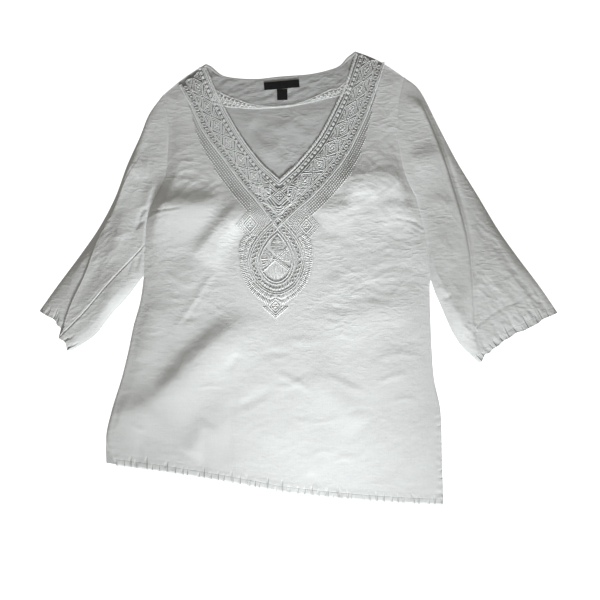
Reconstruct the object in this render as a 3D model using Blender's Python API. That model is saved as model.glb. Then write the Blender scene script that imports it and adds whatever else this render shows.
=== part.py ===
"""A linen tunic top laid out flat, face up, with a V neck, an embroidered yoke and side slits.

The cloth pieces lie on each other as they do on a table: the back panel under everything, the
back neck's facing and labels on its inner side, the front panel over it, and each sleeve as a
flattened tube beside the two. +X is to the viewer's right, +Y from the hem to the neck, +Z up.
Tables are in millimetres, in the pattern's own frame, and the scene is in metres, with its origin
under the middle of the whole.
"""

import math
from dataclasses import dataclass

import bmesh
import bpy
import numpy as np
from mathutils import Vector
from mathutils.bvhtree import BVHTree

MM = 0.001
PATTERN_MIDDLE = (0.0, 4.0, 0.0)

# Cloth and stacking, in millimetres.
CLOTH = 1.2
SEAM_GAP = 0.3
FACING_CLOTH = 0.9
LABEL_CLOTH = 0.6
EMBROIDERY_CLOTH = 0.8
STITCH_RISE = 1.1
EMBROIDERY_GAP = 0.4
BACK_TOP = CLOTH
FRONT_SEAM_TOP = BACK_TOP + SEAM_GAP + CLOTH
FRONT_AIR = 1.5
SEAM_RAMP = 25.0
STITCH_GROOVE = 0.5
STITCH_FADE = 12.0
SLEEVE_SEAM_GAP = 0.45
SLEEVE_EDGE_ROUND = 2.6

# Embroidered yoke.
BAND_ROWS = 28
MEDALLION_SECTORS = 48
PETAL_SECTORS = 3
MEDALLION_CENTRE = (-36.0, 34.0)
CALM_BAND = 66.0
CALM_MEDALLION = 104.0
CALM_FADE = 28.0


@dataclass(frozen=True)
class TorsoSection:
    """One line across the torso, from side to side, below the V neck."""

    name: str
    left: tuple
    centre: tuple
    right: tuple
    back_left: tuple
    back_right: tuple
    left_bow: float = 0.0
    right_bow: float = 0.0


@dataclass(frozen=True)
class YokeSection:
    """One line across each shoulder half, from the armhole to the neck edge."""

    name: str
    left: tuple
    neck_left: tuple
    neck_right: tuple
    right: tuple
    left_bow: float = 0.0
    right_bow: float = 0.0


TORSO = (
    TorsoSection("hem", (-314, -308), (-39, -354), (251, -378), (-331, -303), (249, -373), 3, -4),
    TorsoSection("slit", (-323, -262), (-38, -290), (247, -296), (-330, -256), (245, -293), 2, -2),
    TorsoSection("slit_top", (-320, -214), (-38, -222), (243, -214), (-320, -214), (242, -214)),
    TorsoSection("hip", (-301, -155), (-37, -158), (231, -158), (-301, -155), (231, -158)),
    TorsoSection("low_waist", (-289, -110), (-37, -106), (226, -105), (-289, -110), (226, -105)),
    TorsoSection("waist", (-279, -66), (-36, -55), (223, -52), (-279, -66), (223, -52)),
    TorsoSection("high_waist", (-267, -25), (-36, -5), (221, 0), (-267, -25), (221, 0)),
    TorsoSection("underarm", (-260, 20), (-35, 40), (222, 14), (-260, 20), (222, 14)),
    TorsoSection("under_bust", (-257, 68), (-34, 80), (217, 60), (-257, 68), (217, 60)),
    TorsoSection("bust", (-250, 122), (-33, 122), (208, 102), (-250, 122), (208, 102)),
    TorsoSection("v_tip", (-234, 156), (-31.5, 181), (195, 150), (-234, 156), (195, 150)),
)
YOKE = (
    YokeSection("v_tip", (-234, 156), (-31.5, 181), (-31.5, 181), (195, 150)),
    YokeSection("low_v", (-220, 186), (-60, 206), (-2, 208), (177, 186)),
    YokeSection("mid_v", (-216, 219), (-89, 243), (31, 248), (167.5, 226)),
    YokeSection("high_v", (-214, 252), (-114, 284), (56, 293), (164, 264)),
    YokeSection("collar", (-216, 288), (-134, 323), (76, 336), (165.5, 306)),
    YokeSection("shoulder", (-222, 316), (-152, 366), (93, 386), (173, 344), 3, 5),
)
TIP = len(TORSO) - 1
BUST = TIP - 1
UNDERARM = TIP - 3
TOP = TIP + len(YOKE) - 1
HEM_STITCH = 0.32
DART_ROW = BUST - 0.07
FRONT_ROWS = (
    0, 0.26, HEM_STITCH, 0.38, 0.7, 1, 1.4, 1.8, 2.2, 2.6, 3, 3.4, 3.8, 4.2, 4.6, 5, 5.5, 6, 6.5,
    7, 7.5, 8, 8.5, DART_ROW - 0.07, DART_ROW, BUST, 9.5, TIP, 10.5, 11, 11.5, 12, 12.5, 13,
    13.5, 14, 14.45, 14.75, TOP,
)  # fmt: skip
FRONT_COLUMNS = (
    0, 0.035, 0.08, 0.14, 0.21, 0.28, 0.35, 0.42, 0.49, 0.56, 0.64, 0.72, 0.8, 0.88, 0.94, 1,
)  # fmt: skip
SLIT_STITCH_COLUMN = 1
DART_SHARE = 0.3

# The back's neck edge and its facing, from the left neck point to the right one.
BACK_NECK = (
    (-152, 366), (-142, 361), (-129, 350), (-116, 345), (-89, 342), (-63, 342), (-37, 345),
    (-11, 347), (16, 349), (42, 354), (66, 362), (80, 376), (93, 386),
)  # fmt: skip
FACING_TOP = (
    (-141, 352), (-127, 346), (-114, 342), (-89, 340), (-63, 340), (-37, 343), (-11, 345),
    (16, 347), (43, 352), (67, 360), (80, 368),
)  # fmt: skip
FACING_FOOT = (
    (-146, 326), (-132, 319), (-118, 313), (-104, 309), (-85, 302), (-60, 299), (-37, 299),
    (-14, 301), (11, 307), (35, 316), (57, 326), (70, 327), (86, 340),
)  # fmt: skip
STRIP_FOOT = (
    (-136, 305), (-123, 300), (-104, 297), (-85, 296), (-60, 295), (-30, 296.5), (3, 301),
    (35, 309), (60, 315), (80, 323),
)  # fmt: skip


@dataclass(frozen=True)
class Fold:
    """A soft ridge of the front's cloth along a crest from one point to another."""

    name: str
    start: tuple
    end: tuple
    rise: float
    left_width: float
    right_width: float


FOLDS = (
    Fold("left_bust", (-246, 108), (-128, 114), 8.5, 18, 40),
    Fold("left_under_bust", (-84, 124), (-150, 62), 6.0, 30, 21),
    Fold("left_hip", (-66, -58), (-246, -192), 9.0, 25, 40),
    Fold("left_side", (-236, -20), (-262, -130), 3.0, 22, 22),
    Fold("right_bust", (72, 168), (192, 170), 7.0, 18, 42),
    Fold("right_under_bust", (44, 98), (152, 122), 4.0, 21, 32),
    Fold("right_waist", (40, -60), (190, -20), 2.5, 20, 34),
    Fold("right_hip", (110, -240), (20, -140), 2.5, 26, 26),
    Fold("low_left", (-190, -290), (-150, -230), 2.5, 18, 24),
)


@dataclass(frozen=True)
class SleeveSection:
    """One ring of a sleeve: its outer edge, its inner edge and the lengthwise fold between."""

    name: str
    outer: tuple
    inner: tuple
    fold_share: float
    fold_step: float
    air: float
    fold_jog: float = 0.0


LEFT_SLEEVE = (
    SleeveSection("armhole", (-222, 316), (-260, 20), 0.3, 0.0, 0.0),
    SleeveSection("cap", (-246, 284), (-266, 13), 0.2, 0.0, 2.5),
    SleeveSection("upper", (-262, 247), (-273, 4), 0.14, 0.3, 4.0),
    SleeveSection("biceps", (-284, 201), (-283, -9), 0.1, 1.0, 4.5),
    SleeveSection("above_elbow", (-305, 148), (-296, -24), 0.085, 2.0, 4.5),
    SleeveSection("elbow", (-332, 99), (-312, -40), 0.09, 2.8, 4.5),
    SleeveSection("forearm", (-364, 54), (-329, -61), 0.2, 3.0, 4.0),
    SleeveSection("hem_stitch", (-404, 2), (-347, -82), 0.39, 3.0, 3.5),
    SleeveSection("cuff", (-436, -41), (-390, -108), 0.66, 3.0, 3.0, 11),
)
RIGHT_SLEEVE = (
    SleeveSection("armhole", (173, 344), (222, 14), 0.3, 0.0, 0.0),
    SleeveSection("cap", (200, 321), (227, 0), 0.2, 0.0, 2.5),
    SleeveSection("upper", (232, 262), (232, -13), 0.17, 1.2, 4.0),
    SleeveSection("biceps", (263, 206), (240, -30), 0.21, 3.0, 5.0),
    SleeveSection("above_elbow", (298, 151), (249, -50), 0.39, 4.0, 5.0),
    SleeveSection("elbow", (333, 95), (258, -69), 0.6, 4.0, 5.0),
    SleeveSection("forearm", (366, 50), (268, -86), 0.73, 4.0, 4.5),
    SleeveSection("hem_stitch", (404, 1), (280, -102), 0.82, 3.5, 4.0),
    SleeveSection("cuff", (436, -46), (307, -126), 0.85, 2.5, 3.0),
)
SLEEVE_STATIONS = (0, 0.5, 1, 1.5, 2, 3, 4, 5, 6, 6.5, 6.88, 7, 7.12, 7.55, 8)
SLEEVE_STITCH = 7
LEFT_FOLD_COLUMN = 4
RIGHT_FOLD_COLUMN = 9
FOLD_WIDTH = 3.0
EDGE_MARGIN = 5.0


@dataclass(frozen=True)
class BandColumn:
    """A line of the embroidered band, at its distance from the neck edge."""

    name: str
    away: float
    kind: str


BAND = (
    BandColumn("edge", 2.0, "low"),
    BandColumn("satin_rib", 4.5, "rib"),
    BandColumn("satin_foot", 7.0, "low"),
    BandColumn("diamond_near", 10.0, "lattice"),
    BandColumn("diamond_quarter", 16.0, "lattice"),
    BandColumn("diamond_middle", 22.0, "lattice"),
    BandColumn("diamond_three_quarter", 28.0, "lattice"),
    BandColumn("diamond_far", 34.0, "lattice"),
    BandColumn("inner_line_foot", 37.0, "low"),
    BandColumn("inner_line", 39.0, "rib"),
    BandColumn("eyelet_near", 41.0, "low"),
    BandColumn("eyelets", 44.5, "bead"),
    BandColumn("eyelet_far", 48.0, "low"),
    BandColumn("outer_line", 50.5, "rib"),
    BandColumn("outer_foot", 53.0, "low"),
    BandColumn("comb", 53.0, "comb"),
)
BAND_SHOULDER_SCALE = 0.84
COMB_WIDTH = 12.0
COMB_START = 0.42
COMB_FULL = 0.72
COMB_END = 0.86
SHOULDER_INSET = 5.0


@dataclass(frozen=True)
class MedallionSpoke:
    """Reaches of the medallion's rings, by the angle from straight down, both sides alike."""

    angle: float
    inner: float
    outer: float
    comb: float


MEDALLION = (
    MedallionSpoke(0, 29, 71, 88),
    MedallionSpoke(12, 28.5, 69, 84),
    MedallionSpoke(22, 28, 66, 79),
    MedallionSpoke(45, 26, 59.5, 70.5),
    MedallionSpoke(72, 25.5, 53, 66),
    MedallionSpoke(97, 28, 49, 66.5),
    MedallionSpoke(121, 31, 47.5, 72),
    MedallionSpoke(130, 33, 48, 84),
    MedallionSpoke(137, 35, 49, 97),
    MedallionSpoke(147, 39, 51, 106),
    MedallionSpoke(155, 42, 54, 109),
    MedallionSpoke(164, 46, 58, 80),
    MedallionSpoke(180, 60, 68, 76),
)

LABEL = {"centre": (-27.5, 332.5), "size": (58.0, 12.4), "turn": 4.9}
SIZE_TAB = {"centre": (-26.6, 316.8), "size": (17.0, 17.5), "turn": 1.0}


@dataclass(frozen=True)
class Finish:
    """Colour and gloss of one material."""

    name: str
    colour: tuple
    roughness: float


LINEN = Finish("linen", (0.83, 0.83, 0.81, 1), 0.85)
FACING_LINEN = Finish("facing_linen", (0.74, 0.74, 0.72, 1), 0.85)
THREAD = Finish("embroidery_thread", (0.92, 0.92, 0.9, 1), 0.55)
WOVEN_LABEL = Finish("woven_label", (0.02, 0.02, 0.02, 1), 0.6)


def smooth(knots, at):
    """A point of the smooth curve through the knots, with one unit of `at` between two."""
    knots = [np.array(k, float) for k in knots]
    last = len(knots) - 1
    i = min(int(at), last - 1)
    t = at - i
    a, b = knots[i], knots[i + 1]
    before = knots[i - 1] if i > 0 else 2 * a - b
    after = knots[i + 2] if i + 2 <= last else 2 * b - a
    return 0.5 * (
        2 * a
        + (b - before) * t
        + (2 * before - 5 * a + 4 * b - after) * t * t
        + (3 * a - before - 3 * b + after) * t**3
    )


def ease(t):
    """0 to 1, level at both ends."""
    t = min(max(t, 0.0), 1.0)
    return t * t * (3 - 2 * t)


def body_point(edge, row):
    """A point of a body line at a row, which counts sections from the hem."""
    if row <= TIP:
        name = {"neck_left": "centre", "neck_right": "centre"}.get(edge, edge)
        return smooth([getattr(s, name) for s in TORSO], row)
    return smooth([getattr(s, edge) for s in YOKE], row - TIP)


def row_bow(side, row):
    """How far the middle of a half row rises above a straight line."""
    table, at = (TORSO, row) if row <= TIP else (YOKE, row - TIP)
    return float(smooth([(getattr(s, side + "_bow"), 0) for s in table], at)[0])


def distances(points, line):
    """How far each point is from a line through many points."""
    points, line = np.atleast_2d(points), np.array(line, float)
    a, d = line[:-1], np.diff(line, axis=0)
    rel = points[:, None] - a[None]
    t = np.clip((rel * d).sum(2) / np.maximum((d * d).sum(1), 1e-9), 0, 1)
    return np.linalg.norm(rel - t[..., None] * d, axis=2).min(1)


FINE_ROWS = np.linspace(0, TOP, 121)
SEAM_LINES = [
    [body_point("left", r) for r in FINE_ROWS],
    [body_point("right", r) for r in FINE_ROWS],
    [TORSO[0].left, TORSO[0].centre, TORSO[0].right],
    [YOKE[-1].left, YOKE[-1].neck_left],
    [YOKE[-1].neck_right, YOKE[-1].right],
]
NECK_ROWS = np.linspace(TIP, TOP, 61)
NECK_LINES = {
    "neck_left": [body_point("neck_left", r) for r in NECK_ROWS],
    "neck_right": [body_point("neck_right", r) for r in NECK_ROWS],
}


def fold_height(fold, point):
    """The rise of one fold at a point: highest along its crest, with a width for each side."""
    start, end = np.array(fold.start, float), np.array(fold.end, float)
    along = end - start
    length = np.linalg.norm(along)
    along /= length
    rel = point - start
    share = float(rel @ along) / length
    side = float(-along[1] * rel[0] + along[0] * rel[1])
    width = fold.left_width if side > 0 else fold.right_width
    taper = ease((share + 0.15) / 0.4) * ease((1.15 - share) / 0.4)
    return fold.rise * taper * math.exp(-((side / width) ** 2))


def seam_distance(point):
    """How far a point of the front panel is from its nearest seam or hem edge."""
    return min(distances(point, line)[0] for line in SEAM_LINES)


def front_top(point):
    """Height of the front panel's outer surface at a point."""
    seam = seam_distance(point)
    neck = min(distances(point, line)[0] for line in NECK_LINES.values())
    medallion = np.linalg.norm(point - np.array(MEDALLION_CENTRE))
    calm = ease(min(neck - CALM_BAND, medallion - CALM_MEDALLION) / CALM_FADE)
    folds = sum(fold_height(f, point) for f in FOLDS) * calm
    return FRONT_SEAM_TOP + ease(seam / SEAM_RAMP) * (FRONT_AIR + folds)


def material(finish):
    """The material of a finish, made once."""
    made = bpy.data.materials.get(finish.name)
    if made is None:
        made = bpy.data.materials.new(finish.name)
        made.use_nodes = True
        shader = made.node_tree.nodes["Principled BSDF"]
        shader.inputs["Base Color"].default_value = finish.colour
        shader.inputs["Roughness"].default_value = finish.roughness
    return made


def add_object(name, points, faces, finish):
    """A closed body from points of the pattern, with its faces turned outwards."""
    mesh = bpy.data.meshes.new(name)
    placed = (np.array(points, float) - PATTERN_MIDDLE) * MM
    mesh.from_pydata(placed.tolist(), [], faces)
    shape = bmesh.new()
    shape.from_mesh(mesh)
    bmesh.ops.recalc_face_normals(shape, faces=shape.faces)
    shape.to_mesh(mesh)
    shape.free()
    mesh.shade_smooth()
    mesh.set_sharp_from_angle(angle=math.radians(50))
    mesh.materials.append(material(finish))
    made = bpy.data.objects.new(name, mesh)
    bpy.context.scene.collection.objects.link(made)
    return made


def halved(face, points):
    """A four-cornered face as two triangles, split along its shorter diagonal."""
    if len(face) != 4:
        return [face]
    a, b, c, d = face
    corners = [np.array(points[i], float) for i in face]
    if np.linalg.norm(corners[0] - corners[2]) <= np.linalg.norm(corners[1] - corners[3]):
        return [(a, b, c), (a, c, d)]
    return [(a, b, d), (b, c, d)]


def add_wall(name, outer, inner, faces, finish):
    """A wall between an outer and an inner surface that share their faces, closed at its rim."""
    count = len(outer)
    faces = [part for face in faces for part in halved(face, outer)]
    uses = {}
    for face in faces:
        for a, b in zip(face, face[1:] + face[:1]):
            uses[frozenset((a, b))] = None if frozenset((a, b)) in uses else (a, b)
    rim = [(b, a, a + count, b + count) for a, b in filter(None, uses.values())]
    under = [tuple(i + count for i in reversed(face)) for face in faces]
    return add_object(name, list(outer) + list(inner), faces + under + rim, finish)


def add_plate(name, outline, low, high, finish):
    """A flat piece of an outline's shape between two heights."""
    outline = [tuple(p) for p in outline]
    outer = [(x, y, high) for x, y in outline]
    inner = [(x, y, low) for x, y in outline]
    return add_wall(name, outer, inner, [tuple(range(len(outline)))], finish)


def grid_faces(rows):
    """Quads between rows of point numbers, leaving out any that has shrunk to a line."""
    faces = []
    for low, high in zip(rows, rows[1:]):
        for k in range(len(low) - 1):
            corners = list(dict.fromkeys((low[k], low[k + 1], high[k + 1], high[k])))
            if len(corners) > 2:
                faces.append(tuple(corners))
    return faces


def stitch_drop(row, column):
    """How deep the stitched hem, the slit's hem and the bust dart press into the cloth."""
    share = FRONT_COLUMNS[column]
    if row == HEM_STITCH or (row < 2 and column == SLIT_STITCH_COLUMN):
        return STITCH_GROOVE
    if row == DART_ROW and share < DART_SHARE:
        return STITCH_GROOVE * 1.6 * ease((DART_SHARE - share) / DART_SHARE * 3)
    return 0.0


def add_front():
    """The front panel: two halves, joined down the centre below the V neck."""
    points, halves = [], {}
    for side, neck in (("left", "neck_left"), ("right", "neck_right")):
        rows = []
        for row in FRONT_ROWS:
            seam, middle = body_point(side, row), body_point(neck, row)
            numbers = []
            for column, share in enumerate(FRONT_COLUMNS):
                shared = side == "right" and row <= TIP and share == 1
                if shared:
                    numbers.append(halves["left"][len(rows)][-1])
                    continue
                place = seam + (middle - seam) * share
                place[1] += row_bow(side, row) * 4 * share * (1 - share)
                drop = stitch_drop(row, column) * ease(seam_distance(place) / STITCH_FADE)
                height = front_top(place) - drop
                numbers.append(len(points))
                points.append((place[0], place[1], height))
            rows.append(numbers)
        halves[side] = rows
    faces = grid_faces(halves["left"]) + grid_faces([r[::-1] for r in halves["right"]])
    inner = [(x, y, z - CLOTH) for x, y, z in points]
    return add_wall("front_panel", points, inner, faces, LINEN)


def add_back():
    """The back panel, flat, with the same side seams and its own shallow neck."""
    rows = [r for r in FRONT_ROWS if r not in (0.26, HEM_STITCH, 0.38)]

    def side(edge):
        back = "back_" + edge
        return [body_point(back, r) if r < UNDERARM else body_point(edge, r) for r in rows]

    neck = [smooth(BACK_NECK, i / 2) for i in range(2 * len(BACK_NECK) - 1)]
    shoulder = []
    for edge, end in (("left", 1), ("right", -1)):
        seam, point = body_point(edge, TOP), body_point("neck_" + edge, TOP)
        line = []
        for share in (0.25, 0.5, 0.75):
            place = seam + (point - seam) * share
            place[1] += row_bow(edge, TOP) * 4 * share * (1 - share)
            line.append(place)
        shoulder.append(line[::end])
    outline = side("left") + shoulder[0] + neck + shoulder[1] + side("right")[::-1]
    outline.append(np.array(TORSO[0].centre, float) + (0, 3))
    return add_plate("back_panel", outline, 0.0, BACK_TOP, LINEN)


def add_neck_trim():
    """The facing inside the back neck, the strip of stitches below it, and the bare labels."""
    low = BACK_TOP + SEAM_GAP
    top = [smooth(FACING_TOP, i / 2) for i in range(2 * len(FACING_TOP) - 1)]
    foot = [smooth(FACING_FOOT, i / 2) for i in range(2 * len(FACING_FOOT) - 1)]
    add_plate("back_neck_facing", top + foot[::-1], low, low + FACING_CLOTH, FACING_LINEN)
    under = [p - (0, 0.6) for p in foot]
    strip = [smooth(STRIP_FOOT, i / 2) for i in range(2 * len(STRIP_FOOT) - 1)]
    add_plate("back_neck_stitches", under + strip[::-1], low, low + EMBROIDERY_CLOTH, THREAD)
    on_facing = low + FACING_CLOTH + SEAM_GAP
    for name, piece in (("neck_label", LABEL), ("size_tab", SIZE_TAB)):
        turn = math.radians(piece["turn"])
        half = [s / 2 for s in piece["size"]]
        corners = [(-half[0], -half[1]), (half[0], -half[1]), (half[0], half[1]), (-half[0], half[1])]
        outline = [
            (
                piece["centre"][0] + x * math.cos(turn) - y * math.sin(turn),
                piece["centre"][1] + x * math.sin(turn) + y * math.cos(turn),
            )
            for x, y in corners
        ]
        add_plate(name, outline, on_facing, on_facing + LABEL_CLOTH, WOVEN_LABEL)


def seam_shares(side):
    """Rows of the armhole seam from shoulder to underarm, and each one's share of the way."""
    rows = [r for r in FRONT_ROWS if r >= UNDERARM][::-1]
    line = np.array([body_point(side, r) for r in rows])
    length = np.concatenate([[0], np.cumsum(np.linalg.norm(np.diff(line, axis=0), axis=1))])
    return line, length / length[-1]


def drawn_shares(shares, fold_column, fold, width, weight):
    """The columns' shares across a ring, drawn to both sides of the fold by a weight."""
    margin, half_step = EDGE_MARGIN / width, FOLD_WIDTH / 2 / width
    near = [0.0, *np.linspace(margin, fold - half_step, fold_column)]
    far = [*np.linspace(fold + half_step, 1 - margin, len(shares) - fold_column - 2), 1.0]
    return [a + (b - a) * weight for a, b in zip(shares, near + far)]


def ring_value(table, name, station):
    """A column of a sleeve's table, smoothed between its sections."""
    return float(smooth([(getattr(s, name), 0) for s in table], station)[0])


def ring_edges(table, station):
    """A ring's outer edge and inner edge."""
    return smooth([s.outer for s in table], station), smooth([s.inner for s in table], station)


def fold_run(table, station):
    """The direction of the lengthwise fold at a station, down the sleeve."""
    ends = []
    for at in (max(station - 1, 0), max(station, 1)):
        outer, inner = ring_edges(table, at)
        ends.append(outer + (inner - outer) * ring_value(table, "fold_share", at))
    run = ends[1] - ends[0]
    return run / np.linalg.norm(run)


def skin(upper, lower, across, inset, edge_inset):
    """A ring's points: over its upper layer, round its inner edge and back along its lower one."""
    middle = FRONT_SEAM_TOP / 2
    start, end = upper[0][0], upper[-1][0]
    ring = [(*(start + across * edge_inset), middle)]
    for layer, order in ((upper, 1), (lower, -1)):
        line = []
        for k, (place, height) in enumerate(layer):
            pull = inset * ((k == 0) - (k == len(layer) - 1))
            line.append((*(place + across * pull), height))
        ring += line[::order]
        if order == 1:
            ring.append((*(end - across * edge_inset), middle))
    return ring


def sleeve_ring(side, table, fold_column, station, seam, shares):
    """One ring of a sleeve: (outer skin, inner skin), each as points all the way round."""
    outward = -1 if side == "left" else 1
    outer, inner = ring_edges(table, station)
    across = inner - outer
    width = np.linalg.norm(across)
    fold, step, air, jog = (
        ring_value(table, name, station) for name in ("fold_share", "fold_step", "air", "fold_jog")
    )
    columns = drawn_shares(shares, fold_column, fold, width, ease(station / 2))
    bow_weight = 1 - ease(station)
    run = fold_run(table, station)
    stitch = STITCH_GROOVE if station == SLEEVE_STITCH else 0.0
    straight = seam[-1] - seam[0]
    upper, upper_inside, lower, lower_inside = [], [], [], []
    for k, share in enumerate(columns):
        on_far = k > fold_column
        bow = seam[k] - (seam[0] + straight * shares[k])
        reach = jog * (1 if on_far else -1) * math.sin(math.pi * share)
        place = outer + across * share + bow * bow_weight + run * reach
        if station == 0:
            place = seam[k] + (outward * SLEEVE_SEAM_GAP, 0)
        lens = (4 * share * (1 - share)) ** 0.6 if 0 < share < 1 else 0.0
        raised = step * min(1.0, (1 - share) * 8) if on_far else 0.0
        share_of_air = 1 if on_far else 1 - 0.25 * min(1.0, step / 2)
        height = FRONT_SEAM_TOP + (air - stitch) * lens * share_of_air + raised
        upper.append((place, height))
        upper_inside.append((place, height - CLOTH))
        lower.append((place, 0.0))
        lower_inside.append((place, CLOTH))
    across = across / width
    outside = skin(upper, lower, across, SLEEVE_EDGE_ROUND * 0.5, 0.0)
    inside = skin(upper_inside, lower_inside, across, SLEEVE_EDGE_ROUND, CLOTH + 0.6)
    return outside, inside


def add_sleeve(name, side, table, fold_column):
    """A sleeve as a flattened tube of cloth, open at the armhole and the cuff."""
    seam, shares = seam_shares(side)
    rings = [sleeve_ring(side, table, fold_column, s, seam, shares) for s in SLEEVE_STATIONS]
    round_it = len(rings[0][0])
    outside = [p for ring in rings for p in ring[0]]
    inside = [p for ring in rings for p in ring[1]]
    rows = [[i * round_it + k for k in [*range(round_it), 0]] for i in range(len(rings))]
    return add_wall(name, outside, inside, grid_faces(rows), LINEN)


def resampled(line, count):
    """Points evenly spaced along a line, ends included."""
    line = np.array(line)
    length = np.concatenate([[0], np.cumsum(np.linalg.norm(np.diff(line, axis=0), axis=1))])
    at = np.linspace(0, length[-1], count)
    return np.stack([np.interp(at, length, line[:, k]) for k in range(2)], axis=1)


def comb_reach(share):
    """How far the comb of fine lines reaches past the band, by the share of its way down."""
    if share < COMB_FULL:
        return 1.0 + COMB_WIDTH * ease((share - COMB_START) / (COMB_FULL - COMB_START))
    return 1.0 + COMB_WIDTH * (1 - ease((share - COMB_FULL) / (COMB_END - COMB_FULL)))


def band_line(side, column):
    """A band column's points, from near the shoulder seam to the centre line."""
    neck = resampled(NECK_LINES["neck_" + side][::-1], 61)
    run = np.gradient(neck, axis=0)
    run /= np.linalg.norm(run, axis=1)[:, None]
    away = np.stack([run[:, 1], -run[:, 0]], axis=1) * (1 if side == "left" else -1)
    share = np.linspace(0, 1, len(neck))
    reach = column.away * (BAND_SHOULDER_SCALE + (1 - BAND_SHOULDER_SCALE) * np.minimum(1, share * 1.5))
    if column.kind == "comb":
        reach = reach + [comb_reach(s) for s in share]
    line = neck + away * reach[:, None]
    before = line[0] - run[0] * 30
    after = line[-1] + run[-1] * 90
    line = resampled([before, *line, after], 400)
    neck_point = np.array(getattr(YOKE[-1], "neck_" + side), float)
    along = np.array(getattr(YOKE[-1], side), float) - neck_point
    along /= np.linalg.norm(along)
    normal = np.array([-along[1], along[0]]) * (1 if side == "left" else -1)
    clear = (line - neck_point) @ normal > SHOULDER_INSET
    centre_x = YOKE[0].neck_left[0] - (YOKE[0].neck_left[1] - line[:, 1]) * 0.03
    short = line[:, 0] < centre_x if side == "left" else line[:, 0] > centre_x
    return line[clear & short]


def lattice_height(row, column):
    """Height of the diamond lattice: nested diamonds, four rows and four columns each."""
    ring = abs(row % 4 - 2) + abs(column - 2)
    return (0.9, 0.0, 1.0, 0.1, 0.55)[ring]


def stitch_height(kind, row, column):
    """Relief of the stitches at a band column and row, as a share of the full rise."""
    if kind == "lattice":
        return lattice_height(row, column)
    return {"rib": 1.0, "bead": float(row % 2), "comb": 0.3 * (row % 2)}.get(kind, 0.0)


def laid_on(tree, place, extra):
    """A point above the front panel's surface at a place, by an extra height."""
    above = (np.array((*place, 1000.0)) - PATTERN_MIDDLE) * MM
    hit = tree.ray_cast(Vector(above), Vector((0, 0, -1)))[0]
    return (place[0], place[1], hit.z / MM + extra)


def add_stitched(name, places, heights, faces, tree):
    """Embroidery on the front: its inner side follows the panel, and its outer side the relief."""
    inner = [laid_on(tree, p, EMBROIDERY_GAP) for p in places]
    outer = [(x, y, z + EMBROIDERY_CLOTH + STITCH_RISE * h) for (x, y, z), h in zip(inner, heights)]
    return add_wall(name, outer, inner, faces, THREAD)


def add_band(tree):
    """The embroidered band down both sides of the V neck, mitred at the centre."""
    places, heights, faces = [], [], []
    edges, mitre = {}, []
    lattice = next(i for i, c in enumerate(BAND) if c.kind == "lattice")
    for side in ("left", "right"):
        lines = [resampled(band_line(side, column), BAND_ROWS + 1) for column in BAND]
        edges[side] = lines[-1]
        rows = []
        for row in range(BAND_ROWS + 1):
            if side == "right" and row == BAND_ROWS:
                rows.append(mitre)
                continue
            numbers = []
            for k, column in enumerate(BAND):
                numbers.append(len(places))
                places.append(lines[k][row])
                heights.append(stitch_height(column.kind, row, k - lattice))
            rows.append(numbers)
        mitre = rows[-1]
        faces += grid_faces(rows if side == "left" else [r[::-1] for r in rows])
    add_stitched("neck_embroidery", places, heights, faces, tree)
    return edges


def ray_reach(origin, direction, line):
    """How far a ray runs before it meets a line, or a large number if it doesn't."""
    reach = 1e9
    for a, b in zip(line, line[1:]):
        d = b - a
        cross = direction[0] * d[1] - direction[1] * d[0]
        if abs(cross) < 1e-9:
            continue
        rel = a - origin
        t = (rel[0] * d[1] - rel[1] * d[0]) / cross
        u = (rel[0] * direction[1] - rel[1] * direction[0]) / cross
        if t > 0 and -0.01 <= u <= 1.01:
            reach = min(reach, t)
    return reach


def add_medallion(tree, edges):
    """The drop-shaped medallion below the V, with side diamonds, comb stitches and a pendant."""
    angles = [s.angle for s in MEDALLION]
    centre = np.array(MEDALLION_CENTRE)
    rings = [[] for _ in range(10)]
    places, heights = [centre], [0.2]
    for k in range(MEDALLION_SECTORS):
        turn = 360 * k / MEDALLION_SECTORS
        from_down = min(turn, 360 - turn)
        direction = np.array([math.sin(math.radians(turn)), -math.cos(math.radians(turn))])
        inner, outer, comb = (
            float(np.interp(from_down, angles, [getattr(s, n) for s in MEDALLION]))
            for n in ("inner", "outer", "comb")
        )
        limit = min(ray_reach(centre, direction, line) for line in edges.values()) - 1.2
        comb = min(comb, limit)
        outer = min(outer, comb - 4)
        tooth = float(k % 2)
        petal = float(k // PETAL_SECTORS % 2)
        reaches = (
            (inner * 0.4, 0.8 * petal), (inner - 8, 0.8 * petal), (inner - 3, 0.0),
            (inner, 1.0), (inner + 3, 0.0),
            ((inner + outer) / 2, tooth), (outer - 2.5, 0.0), (outer, 1.0),
            ((outer + comb) / 2, 0.2 + 0.6 * tooth), (comb, 0.5 * tooth),
        )  # fmt: skip
        for ring, (reach, height) in zip(rings, reaches):
            ring.append(len(places))
            places.append(centre + direction * reach)
            heights.append(height)
    faces = [(0, a, b) for a, b in zip(rings[0], rings[0][1:] + rings[0][:1])]
    faces += grid_faces([ring + ring[:1] for ring in rings])
    add_stitched("medallion_embroidery", places, heights, faces, tree)


def main():
    """Builds the tunic."""
    for old in list(bpy.data.objects):
        bpy.data.objects.remove(old)
    front = add_front()
    add_back()
    add_neck_trim()
    add_sleeve("sleeve_left", "left", LEFT_SLEEVE, LEFT_FOLD_COLUMN)
    add_sleeve("sleeve_right", "right", RIGHT_SLEEVE, RIGHT_FOLD_COLUMN)
    shape = bmesh.new()
    shape.from_mesh(front.data)
    tree = BVHTree.FromBMesh(shape)
    edges = add_band(tree)
    add_medallion(tree, edges)
    shape.free()


main()
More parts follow.
